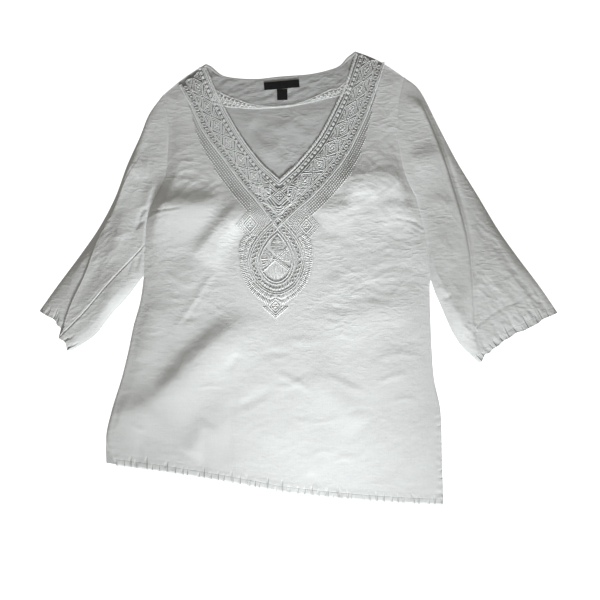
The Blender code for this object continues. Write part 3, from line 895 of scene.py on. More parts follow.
@dataclass(frozen=True)
class LinenFinish:
    """Washed off-white linen: a slubby plain weave, matt, with fine pressed wrinkles."""

    name: str
    light: Colour
    shade: Colour
    # Painted shade: the colour the cloth takes between stitches, in tucks, inside the neck and at the back's
    # hem corner.
    painted_shade: Colour
    thread: float = 0.8
    weave_depth: float = 0.12
    wrinkle_depth: float = 0.6
    roughness: float = 0.88
    gloss: float = 0.25
    sheen: float = 0.12
    tuck_pitch: float = 12.6

    def material(self) -> Material:
        """Makes the node material.

        Returns:
            The material.
        """
        g = NodeGraph(self.name)
        across, down = g.split(g.place(1000.0))
        wander = g.noise(g.place(60.0))
        turn = 2 * math.pi / self.thread
        yarns = (across * turn + wander * 9.0).sine() + (down * turn + wander * 7.0).sine()
        slubs = g.noise(g.place((24, 520, 26)), 3.0, 0.65) + g.noise(g.place((520, 28, 26)), 3.0, 0.65)
        tucks = self.tucks(g)
        tone = ((slubs * 0.5 - 0.30) * 1.6).clamped()
        # Painted shade: the shade attribute and the tucks' grooves darken the colour towards the painted
        # shade colour.
        painted_shade = (g.attribute("shade") + tucks * 0.32).clamped()
        wrinkles = self.wrinkles(g) * self.drawn(across, down) * self.wrinkle_depth - tucks * 1.1
        soft = g.bump(wrinkles, 1.0, MM)
        colour = g.blend(painted_shade, g.blend(tone, self.shade, self.light), self.painted_shade)
        normal = g.bump(yarns * 0.25 + slubs * 0.55, 0.8, self.weave_depth * MM, soft)
        return g.finish(colour, normal, self.roughness, self.gloss, self.sheen)

    @staticmethod
    def drawn(across: Signal, down: Signal) -> Signal:
        """How crumpled the cloth is: more towards the yoke and sleeves, less on the smooth bust.

        Args:
            across: The X coordinate.
            down: The Y coordinate.

        Returns:
            A share.
        """
        body = ((down + 200.0) * (1 / 260)).clamped() * 0.95 + 0.25
        sleeve = ((across.absolute() - 258.0) * 0.04).clamped() * ((down + 150.0) * 0.03).clamped()
        right, up = across + 186.0, down - 112.0
        smooth = 1.0 - (right * right * (1 / 4000) + up * up * (1 / 3600)).clamped()
        return (body + sleeve * 0.1) * (1.0 - smooth * 0.7)

    @staticmethod
    def wrinkles(g: NodeGraph) -> Signal:
        """Fine unevenness, with patches of thin creases, as pressed in.

        Args:
            g: The material's graph.

        Returns:
            Their height.
        """
        creases = []
        for scale, turn in (((34, 96, 46), 18), ((38, 80, 50), -24)):
            level = g.noise(g.place(scale, turn), 1.0) - 0.5
            creases.append((1.0 - level.absolute() * 10.0).clamped())
        patches = (g.noise(g.place(17.0), 1.0) * 5.0 - 1.9).clamped()
        return g.noise(g.place((110, 190, 110), 8), 4.0, 0.6) + (creases[0] + creases[1]) * patches * 0.25

    def tucks(self, g: NodeGraph) -> Signal:
        """How deep in a small tuck each place is, of those that a stitched hem draws up, from 0 to 1.

        Args:
            g: The material's graph.

        Returns:
            The depth.
        """
        run, away = g.stitch_map()
        wander, reach = g.wander(run * 0.045, 0.0, 2.0), g.wander(run * 0.11, 7.0, 1.0)
        phase = (run + away * 0.2) * (2 * math.pi / self.tuck_pitch) + wander * 15.0
        strokes = (phase.sine() * 2.0 - 0.9).clamped()
        long = ((reach * 46.0 - 6.0 - away) * 0.1).clamped()
        line = (1.0 - (away - 12.0).absolute() * 0.9).clamped()
        return (strokes * long + line * 0.2).clamped()


@dataclass(frozen=True)
class ThreadFinish:
    """White embroidery cotton: fine strands along each stitch, with a soft sheen."""

    name: str
    light: Colour
    shade: Colour
    # Painted shade, for the eyelets' holes and the neck strip's ground.
    pit_shade: Colour
    strand: float = 0.5
    strand_depth: float = 0.05
    roughness: float = 0.36
    sheen: float = 0.4
    gloss: float = 0.8

    def material(self) -> Material:
        """Makes the node material.

        Returns:
            The material.
        """
        g = NodeGraph(self.name)
        strands = (g.stitch_map()[1] * (2 * math.pi / self.strand)).sine()
        tone = (g.noise(g.place(300.0)) * 1.4 - 0.1 + strands * 0.12).clamped()
        # The shade attribute blends the thread towards the painted shade colour.
        colour = g.blend(g.attribute("shade"), g.blend(tone, self.shade, self.light), self.pit_shade)
        normal = g.bump(strands, 0.6, self.strand_depth * MM)
        return g.finish(colour, normal, self.roughness, self.gloss, self.sheen)


@dataclass(frozen=True)
class LabelFinish:
    """Black woven tape with a close satin rib."""

    name: str
    light: Colour
    shade: Colour
    rib: float = 0.5
    rib_depth: float = 0.08
    turn: float = -4.9
    roughness: float = 0.6
    gloss: float = 0.2

    def material(self) -> Material:
        """Makes the node material.

        Returns:
            The material.
        """
        g = NodeGraph(self.name)
        across, down = g.split(g.place(1000.0, self.turn))
        wave = 2 * math.pi / self.rib
        ribs = (across * wave).sine() * 0.5 + (down * wave * 0.7).sine() * 0.5
        tone = (ribs * 0.25 + g.noise(g.place(240.0), 3.0) * 0.8 - 0.1).clamped()
        normal = g.bump(ribs, 0.7, self.rib_depth * MM)
        return g.finish(g.blend(tone, self.shade, self.light), normal, self.roughness, self.gloss)


class Finish(Enum):
    """The finishes of the garment."""

    # The linen's last colour is painted shade, for the shade between stitches, in tucks and inside the neck.
    LINEN = LinenFinish("linen", grey(0.795), grey(0.72, 0.01), grey(0.32, 0.012))
    # The facing's linen is painted darker all over: painted shade, as it lies in shade inside the neck.
    SHADED_FACING = LinenFinish("facing_linen", grey(0.575), grey(0.45, 0.01), grey(0.5))
    # The thread's last colour is painted shade for the eyelets' holes.
    THREAD = ThreadFinish("embroidery_thread", grey(0.99), grey(0.95, 0.01), grey(0.60, 0.02))
    LABEL = LabelFinish("woven_label", grey(0.024), grey(0.006))

    def material(self) -> Material:
        """The finish's material, made once.

        Returns:
            The material.
        """
        name = "looks_" + self.value.name
        made = bpy.data.materials.get(name) or self.value.material()
        made.name = name
        return made


# Meshes


@dataclass
class Shape:
    """Points and faces of a mesh, gathered before it is made."""

    points: list[Array] = field(default_factory=list)
    faces: list[Array] = field(default_factory=list)
    uvs: list[Array] = field(default_factory=list)
    shades: list[Array] = field(default_factory=list)
    count: int = 0

    def add(
        self, points: Array, faces: Sequence[Array], uv: Array | None = None, shade: Array | float = 0.0
    ) -> None:
        """Adds points and faces that number them from nought.

        Args:
            points: Points in millimetres, one row each.
            faces: Arrays of faces, each with its own number of corners.
            uv: A pair for each point, for the UV map.
            shade: How much painted shade each point takes, from 0 to 1.
        """
        self.points.append(points)
        self.faces += [f + self.count for f in faces if len(f)]
        self.uvs.append(np.zeros((len(points), 2)) if uv is None else uv)
        self.shades.append(np.broadcast_to(np.asarray(shade, float), (len(points),)))
        self.count += len(points)

    def add_copies(
        self, points: Array, faces: Sequence[Array], uv: Array | None = None, shade: float = 0.0
    ) -> None:
        """Adds many pieces that are joined alike.

        Args:
            points: A block of points for each piece.
            faces: The faces of the first piece.
            uv: Pairs for the UV map, in blocks like those of the points.
            shade: How much painted shade they take.
        """
        points = points.reshape(len(points), -1, 3)
        offsets = (np.arange(len(points)) * points.shape[1])[:, None, None]
        grown = [(f[None] + offsets).reshape(-1, f.shape[1]) for f in faces]
        self.add(points.reshape(-1, 3), grown, None if uv is None else uv.reshape(-1, 2), shade)

    def build(self, name: str, finish: Finish, node: str, angle: float = 50.0) -> Object:
        """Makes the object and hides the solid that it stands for.

        Args:
            name: The piece's name.
            finish: Its finish.
            node: The node that it replaces.
            angle: Edges sharper than this, in degrees, stay sharp.

        Returns:
            The new object.
        """
        points = (np.vstack(self.points) - PATTERN_MIDDLE) * MM
        corners = np.concatenate([f.ravel() for f in self.faces])
        sizes = np.concatenate([np.full(len(f), f.shape[1]) for f in self.faces])
        mesh = bpy.data.meshes.new(name)
        mesh.vertices.add(len(points))
        mesh.vertices.foreach_set("co", points.astype(np.float32).ravel())
        mesh.loops.add(len(corners))
        mesh.loops.foreach_set("vertex_index", corners.astype(np.int32))
        mesh.polygons.add(len(sizes))
        starts = np.concatenate([[0], np.cumsum(sizes)[:-1]])
        mesh.polygons.foreach_set("loop_start", starts.astype(np.int32))
        layer = mesh.uv_layers.new(name="stitch")
        layer.data.foreach_set("uv", np.vstack(self.uvs)[corners].astype(np.float32).ravel())
        mesh.attributes.new("shade", "FLOAT", "POINT")
        mesh.attributes["shade"].data.foreach_set("value", np.concatenate(self.shades).astype(np.float32))
        mesh.update(calc_edges=True)
        mesh.validate()
        mesh.shade_smooth()
        mesh.set_sharp_from_angle(angle=math.radians(angle))
        mesh.materials.append(finish.material())
        made = bpy.data.objects.new(name, mesh)
        bpy.context.scene.collection.objects.link(made)
        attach(made, "root")
        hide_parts(node)
        LOG.info("%s: %d points, %d triangles", name, len(points), int((sizes - 2).sum()))
        return made


def grid_quads(numbers: Array) -> Array:
    """Quads between the rows of a grid of point numbers, leaving out any that has shrunk.

    Args:
        numbers: The grid of numbers.

    Returns:
        The quads.
    """
    a, b = numbers[:-1, :-1].ravel(), numbers[:-1, 1:].ravel()
    c, d = numbers[1:, 1:].ravel(), numbers[1:, :-1].ravel()
    quads = np.stack([a, b, c, d], axis=1)
    return quads[(quads[:, 0] != quads[:, 1]) & (quads[:, 2] != quads[:, 3])]


def closed_grid(rows: int, columns: int) -> Array:
    """Numbers of the points of a grid that goes round, with its first column again at its end."""
    numbers = np.arange(rows * columns).reshape(rows, columns)
    return np.hstack([numbers, numbers[:, :1]])


def rim_quads(quads: Array, under: int) -> Array:
    """Quads that join the border of a sheet to that of its copy, numbered `under` further on.

    Args:
        quads: The sheet's quads.
        under: How much further on.

    Returns:
        The quads of the rim.
    """
    edges = np.concatenate([quads[:, [k, (k + 1) % 4]] for k in range(4)])
    ordered = np.sort(edges, axis=1)
    key = ordered[:, 0].astype(np.int64) * (under + 1) + ordered[:, 1]
    _, first, uses = np.unique(key, return_index=True, return_counts=True)
    a, b = edges[first[uses == 1]].T
    return np.stack([b, a, a + under, b + under], axis=1)


def add_shell(
    shape: Shape, upper: Array, lower: Array, quads: Array,
    shade: Array | float = 0.0, edges: Array | None = None,
) -> None:  # fmt: skip
    """Adds a closed thin sheet: an upper and a lower skin and the rim between.

    Args:
        shape: The shape that it is added to.
        upper: The points of its upper skin.
        lower: As many points below them.
        quads: The faces of the upper skin.
        shade: How much painted shade each point takes.
        edges: Run along a stitched edge and distance from it, for each point.
    """
    count = len(upper)
    if edges is None:
        edges = np.broadcast_to((0.0, FAR_FROM_EDGES), (count, 2))
    faces = [quads, quads[:, ::-1] + count, rim_quads(quads, count)]
    tones = np.tile(np.broadcast_to(shade, (count,)), 2)
    shape.add(np.vstack([upper, lower]), faces, np.vstack([edges, edges]), tones)


# Cloth pieces


@dataclass
class FrontPanel:
    """The front: hem, slits, bust darts and V neck, with every fold that shows."""

    pattern: BodyPattern
    relief: FrontRelief
    columns: int = 88
    seam_draw: float = 0.22

    def grid(self) -> tuple[Array, Array]:
        """Places, and quads between them: two halves that share their middle line below the V.

        Returns:
            The places and the quads.
        """
        parts = ((0, 0.5, 2.2), (0.5, TIP, 2.9), (TIP, TOP, 3.2))
        rows = np.unique(np.concatenate([self.pattern.even_rows(*part) for part in parts]))
        joined = int(np.argmin(np.abs(rows - TIP))) + 1
        share = np.linspace(0, 1, self.columns)
        share = share - self.seam_draw * np.sin(2 * math.pi * share) / (2 * math.pi)
        halves = []
        for side in SIDES:
            seam, middle = self.pattern.edge(side, rows), self.pattern.edge("neck_" + side, rows)
            place = ruled(seam, middle, share)
            place[..., 1] += self.pattern.bow(side, rows)[:, None] * arch(share)
            halves.append(place.reshape(-1, 2))
        places = np.vstack(halves)
        left, right = np.arange(len(places)).reshape(2, len(rows), -1)
        right[:joined, -1] = left[:joined, -1]
        quads = np.vstack([grid_quads(left), grid_quads(right[:, ::-1])])
        used, numbers = np.unique(quads, return_inverse=True)
        return places[used], numbers.reshape(quads.shape)

    def build(self) -> Object:
        """Builds the shell.

        Returns:
            The piece.
        """
        places, quads = self.grid()
        height = self.relief.height(places)
        neck = distance_to(places, self.relief.neck)
        above_tip = places[:, 1] > TORSO[-1].centre[1] - 8
        height = np.maximum(height - np.where(above_tip, 0.3 * (1 - ease(neck / 1.4)), 0), CLOTH + 0.2)
        upper = raised(places, height)
        lower = raised(places, height - CLOTH * (0.45 + 0.55 * ease(neck / 10)))
        shape = Shape()
        # The front's shade attribute is painted shade between and round the stitches.
        add_shell(shape, upper, lower, quads, painted_stitch_shade(places), self.relief.edge_map(places))
        return shape.build("front_cloth", Finish.LINEN, "front_panel")


@dataclass
class BackPanel:
    """The back: flat on the table, with the part inside the neck softly rumpled."""

    pattern: BodyPattern
    noise: CrumpleNoise = field(default_factory=lambda: CrumpleNoise(23))
    columns: int = 120
    low_rows: int = 100
    high_rows: int = 50
    hem_bow: float = 7.0
    # Where shade is painted onto the back: inside the neck opening, and at the hem corner that shows below
    # the front.
    shaded_opening: Line = (
        (-158, 372), (-138, 323), (-118, 284), (-93, 243), (-64, 206), (-31.5, 175), (2, 208),
        (35, 248), (60, 293), (80, 336), (100, 392),
    )  # fmt: skip
    hem_corner: Line = ((-340, -262), (-300, -320), (-345, -320))
    seen_opening: Line = (
        (-122, 298), (-89, 243), (-60, 206), (-31.5, 181), (-2, 208), (31, 248), (58, 302),
        (20, 296), (-60, 286),
    )  # fmt: skip

    def painted_inside_shade(self, places: Array) -> Array:
        """How much painted shade each place takes: inside the neck opening and at the hem corner."""
        return 0.5 * inside(places, self.shaded_opening) + 0.35 * inside(places, self.hem_corner)

    def rumple(self, places: Array) -> Array:
        """How far the cloth stands up from the table, seen through the neck opening.

        Args:
            places: Places in the pattern's frame.

        Returns:
            The heights.
        """
        n, depth = self.noise, depth_in(places, np.array(self.seen_opening, float))
        wave = 0.9 * n.plain(places, 52, 34, 50) + 0.75 * n.plain(places, 24, 18, -30)
        wave += 0.16 * n.plain(places + 90, 11, 9, 20)
        pressed = n.ridged(places, 40, 22, 40) + 0.5 * n.ridged(places + 300, 22, 10, -50)
        calm = (1.4 * wave + 0.5 * pressed) * ease((depth - 3) / 14)
        return 0.85 * ease((depth + 7) / 6) + 0.5 * ease((depth - 2) / 45) + calm

    def places(self) -> Array:
        """Places in rows: ruled ones up to the underarm, and a blended yoke above.

        Returns:
            The places, row by row.
        """
        share = np.linspace(0, 1, self.columns)
        rows = np.linspace(0, UNDERARM, self.low_rows)
        low = ruled(self.pattern.edge("back_left", rows), self.pattern.edge("back_right", rows), share)
        low[..., 1] -= (1 - rows / UNDERARM)[:, None] * self.hem_bow * arch(share)
        rows = np.linspace(UNDERARM, TOP, self.high_rows)
        w = ((rows - UNDERARM) / (TOP - UNDERARM))[:, None, None]
        s = share[None, :, None]
        left, right = (self.pattern.edge(side, rows)[:, None] for side in SIDES)
        top = np.vstack([[YOKE[-1].left], smooth_line(BACK_NECK, 8), [YOKE[-1].right]])
        corners = (1 - s) * ((1 - w) * left[:1] + w * left[-1:])
        corners = corners + s * ((1 - w) * right[:1] + w * right[-1:])
        sides, ends = (1 - s) * left + s * right, (1 - w) * low[-1] + w * resampled(top, len(share))
        return np.concatenate([low, (sides + ends - corners)[1:]])

    def build(self) -> Object:
        """Builds the shell and the rolled edge of its neck.

        Returns:
            The piece.
        """
        rows = self.places()
        places = rows.reshape(-1, 2)
        quads = grid_quads(np.arange(len(places)).reshape(rows.shape[:2]))
        upper = raised(places, CLOTH + 0.1 + self.rumple(places))
        shape = Shape()
        # Painted shade inside the neck and at the hem corner.
        add_shell(shape, upper, raised(places, 0.0), quads, self.painted_inside_shade(places))
        self.add_neck_roll(shape)
        return shape.build("back_cloth", Finish.LINEN, "back_panel")

    def add_neck_roll(self, shape: Shape) -> None:
        """Adds the rolled edge that finishes the back neck.

        Args:
            shape: The panel's shape so far.
        """
        line = resampled(smooth_line(BACK_NECK, 10), 130)
        across = -left_of(tangents(line))
        width, height, middle = 2.1, 0.6, 1.5
        angles = np.linspace(0, 2 * math.pi, 13)[:-1]
        ring = [
            raised(line + across * (width * math.cos(a) + 1.6), middle + height * math.sin(a)) for a in angles
        ]
        points = np.stack(ring, axis=1)
        numbers = closed_grid(*points.shape[:2])
        caps = [numbers[:1, :-1], numbers[-1:, -2::-1]]
        shape.add(points.reshape(-1, 3), [grid_quads(numbers)[:, ::-1], *caps])


@dataclass
class NeckTrim:
    """What shows on the inner side of the back neck: the facing and the strip of stitches."""

    noise: CrumpleNoise = field(default_factory=lambda: CrumpleNoise(31))

    def ribbon(
        self, upper_line: Array, lower_line: Array, rows: int, low: float,
        high: Callable[[Array, Array], Array | float], shade: float = 0.0,
    ) -> Shape:  # fmt: skip
        """A shell ruled between two lines.

        Args:
            upper_line: Its upper edge.
            lower_line: Its lower edge, with as many points.
            rows: How many rows of points lie between.
            low: The height of its underside.
            high: The height of its upper side, by place and share of the way up.
            shade: How much painted shade it takes.

        Returns:
            The shape.
        """
        share = np.linspace(0, 1, rows)
        places = ruled(lower_line, upper_line, share).swapaxes(0, 1).reshape(-1, 2)
        upper = raised(places, high(places, np.repeat(share, len(upper_line))))
        quads = grid_quads(np.arange(len(places)).reshape(rows, -1))
        shape = Shape()
        add_shell(shape, upper, raised(places, low), quads, shade)
        return shape

    def facing_height(self, places: Array, share: Array) -> Array:
        """The facing's upper side: soft creases across it and a turned edge at its foot.

        Args:
            places: Places in the pattern's frame.
            share: How far up the facing each is.

        Returns:
            The heights.
        """
        wave = 0.8 * self.noise.plain(places, 26, 11, 18) + 0.6 * self.noise.plain(places, 12, 6, 34)
        edge = ease(share / 0.08) * ease((1 - share) / 0.08)
        return FACING_LOW + 0.62 + (0.2 + 0.68 * wave) * edge + 0.2 * ease((0.1 - share) / 0.05)

    def build_facing(self) -> Object:
        """Builds the facing.

        Returns:
            The piece.
        """
        top, foot = (resampled(smooth_line(line), 120) for line in (FACING_TOP, FACING_FOOT))
        shape = self.ribbon(top, foot, 34, FACING_LOW, self.facing_height)
        # The facing takes linen painted darker, as painted shade.
        return shape.build("facing_cloth", Finish.SHADED_FACING, "back_neck_facing")

    def build_strip(self) -> Object:
        """The narrow strip of stitches below the facing: a cord, with lace points at the ends.

        Returns:
            The piece.
        """
        foot = resampled(smooth_line(FACING_FOOT), 160) - (0, 0.6)
        low = resampled(smooth_line(STRIP_FOOT), 160)
        # The strip's ground takes three quarters of the thread's painted shade: partly the linen's own
        # off-white, darker than the thread, and partly painted shade inside the neck.
        ground = self.ribbon(foot, low, 4, FACING_LOW - 0.1, lambda *_: FACING_LOW + 0.05, 0.75)
        work = StitchWork(lambda places: np.full(len(places), FACING_LOW + 0.2), ground)
        middle = (foot + low) / 2
        half = np.linalg.norm(foot - low, axis=1) / 2
        work.cord(beside(middle, np.maximum(half - 0.9, 0.7)), 2.3, 1.2)
        work.cord(beside(middle, -np.maximum(half - 1.2, 0.9)), 2.6, 1.1)
        for start, end in runs_of(half > 3.4):
            part = np.column_stack([middle[start:end], half[start:end] - 2.0])
            count = max(4, int(run_lengths(middle[start:end])[-1] / 3.2))
            even = resampled(part, count)
            sign = np.where(np.arange(count) % 2, 1, -1)
            work.strand(beside(even[:, :2], even[:, 2] * sign), 1.8, 1.3, 3.0)
            work.strand(beside(even[:, :2], -even[:, 2] * sign * 0.5), 1.3, 1.0, 3.0)
        work.cord(middle[half <= 3.6], 2.4, 1.1)
        return work.shape.build("back_neck_strip", Finish.THREAD, "back_neck_stitches", 180)


@dataclass(frozen=True)
class Tape:
    """A bare woven label: a thin tape with folded ends and a slight bow."""

    name: str
    node: str
    centre: Pair
    size: Pair
    turn: float

    def build(self) -> Object:
        """Builds the shell.

        Returns:
            The piece.
        """
        u, v = np.meshgrid(np.linspace(-0.5, 0.5, 30), np.linspace(-0.5, 0.5, 12))
        places = self.centre + turned(np.column_stack([u.ravel(), v.ravel()]) * self.size, self.turn)
        end = (0.5 - np.abs(u)) * self.size[0]
        height = 0.42 + 0.12 * np.cos(u * 7) * np.cos(v * 3) + 0.16 * ease((3.0 - end) / 0.8)
        height = height - 0.14 * hill(end - 1.6, 0.5)
        quads = grid_quads(np.arange(len(places)).reshape(u.shape))
        shape = Shape()
        add_shell(shape, raised(places, LABEL_LOW + height.ravel()), raised(places, LABEL_LOW - 0.1), quads)
        return shape.build(self.name, Finish.LABEL, self.node)


# Sleeves


@dataclass(frozen=True)
class SleeveSection:
    """One ring of a sleeve: its outer edge, its inner edge and the lengthwise fold between."""

    name: str
    outer: Pair
    inner: Pair
    fold_share: float
    fold_step: float
    air: float


LEFT_SLEEVE = table(
    SleeveSection,
    ("armhole", (-222, 316), (-260, 20), 0.3, 0.0, 0.0),
    ("cap", (-246, 284), (-266, 13), 0.2, 0.0, 1.9),
    ("upper", (-262, 247), (-273, 4), 0.14, 0.2, 3.3),
    ("biceps", (-284, 201), (-283, -9), 0.1, 0.6, 6.0),
    ("above_elbow", (-305, 148), (-296, -24), 0.085, 1.2, 8.4),
    ("elbow", (-332, 99), (-312, -40), 0.09, 1.6, 8.4),
    ("forearm", (-364, 54), (-329, -61), 0.25, 1.8, 6.2),
    ("hem_stitch", (-404, 2), (-347, -82), 0.375, 1.8, 4.0),
    ("cuff", (-436, -41), (-386, -107), 0.62, 1.6, 2.2),
)
RIGHT_SLEEVE = table(
    SleeveSection,
    ("armhole", (173, 344), (222, 14), 0.03, 0.0, 0.0),
    ("cap", (200, 321), (227, 0), 0.05, 2.6, 1.6),
    ("upper", (232, 262), (232, -13), 0.09, 5.8, 2.4),
    ("biceps", (263, 206), (240, -30), 0.19, 6.6, 4.2),
    ("above_elbow", (298, 151), (249, -50), 0.345, 5.8, 6.8),
    ("elbow", (333, 95), (258, -69), 0.56, 4.2, 8.6),
    ("forearm", (366, 50), (268, -86), 0.715, 3.2, 6.8),
    ("hem_stitch", (404, 1), (280, -102), 0.83, 2.4, 4.2),
    ("cuff", (436, -44), (308, -128), 0.93, 1.8, 1.8),
)
LEFT_CUFF = (
    (-436, -38), (-425, -45), (-411, -53), (-407, -62), (-401, -68), (-404, -84), (-394, -92),
    (-391, -106), (-386, -107),
)  # fmt: skip
RIGHT_CUFF = (
    (436, -44), (424, -49), (412, -54), (402, -62), (390, -68), (379, -74), (368, -77), (357, -85),
    (346, -91), (338, -99), (330, -104), (322, -112), (316, -114), (311, -125), (308, -128),
)  # fmt: skip
LEFT_UNDERARM = ((-258, 70), (-285, 39), (-329, -8), (-363, -46), (-402, -84))
RIGHT_UNDERARM = ((222, 14), (232, -13), (249, -50), (268, -86), (307, -126))

LEFT_SLEEVE_CREASES = table(
    Fold,
    (((-259, 68), (-286, 37), (-330, -10), (-364, -48), (-403, -86)), 0.2, 1.6, 5.0, 0.06),
    (((-257, 71), (-284, 41), (-328, -6), (-362, -44), (-401, -82)), -1.3, 1.2, 1.0, 0.06),
    (((-238, 176), (-250, 148), (-258, 118)), 1.6, 4, 7),
    (((-252, 132), (-262, 122), (-268, 104)), -1.8, 3.5, 4),
    (((-256, 112), (-264, 106), (-272, 96)), -1.4, 3, 4),
    (((-246, 196), (-262, 196), (-276, 188)), 2.2, 14, 22),
    (((-262, 58), (-268, 46), (-272, 30)), -1.0, 3, 4),
    (((-272, 50), (-280, 38), (-286, 22)), -0.9, 3, 4),
    (((-300, 12), (-314, -8), (-322, -28)), 1.4, 9, 10),
    (((-306, 84), (-292, 88), (-278, 94)), 1.0, 4, 6),
    (((-300, 140), (-308, 112), (-322, 84)), -1.4, 10, 12),
    (((-276, 214), (-288, 180), (-298, 150)), 1.4, 10, 10),
    (((-252, 240), (-258, 204), (-262, 168)), -1.0, 9, 9),
    (((-284, 130), (-296, 90), (-318, 40)), 1.5, 12, 10),
    (((-330, 40), (-350, 8), (-366, -18)), -1.0, 8, 9),
    (((-300, 30), (-322, 8), (-340, -12)), 0.8, 6, 8),
)
RIGHT_SLEEVE_CREASES = table(
    Fold,
    (((190, 300), (212, 290), (232, 250), (247, 206)), 1.4, 12, 16, 0.2),
    (((186, 208), (208, 216), (232, 220)), 3.0, 13, 30, 0.4),
    (((222, 150), (238, 140), (256, 134)), 1.2, 8, 12),
    (((234, 4), (241, -2), (248, -8)), 0.8, 3, 4),
    (((240, -14), (246, -18), (254, -12)), -1.1, 3, 3),
    (((236, 92), (246, 60), (252, 26)), 1.2, 8, 10),
    (((262, 60), (268, 26), (272, -6)), -0.9, 7, 8),
    (((262, -30), (274, -50), (284, -78)), 1.2, 8, 9),
    (((290, 130), (302, 100), (318, 66)), -1.2, 9, 9),
    (((322, 84), (344, 50), (372, 12)), -1.3, 5, 9),
    (((312, 40), (330, 8), (348, -22)), 1.0, 7, 9),
    (((338, 10), (352, -14), (366, -44)), 0.9, 6, 7),
    (((372, 20), (388, -6), (404, -36)), -1.2, 5, 7),
    (((400, -8), (408, -24), (416, -42)), -1.2, 4, 5),
    (((384, -20), (390, -36), (398, -52)), -1.1, 4, 5),
    (((352, -50), (358, -64), (364, -76)), -0.9, 4, 5),
    (((330, -62), (336, -76), (342, -90)), -0.9, 4, 5),
)


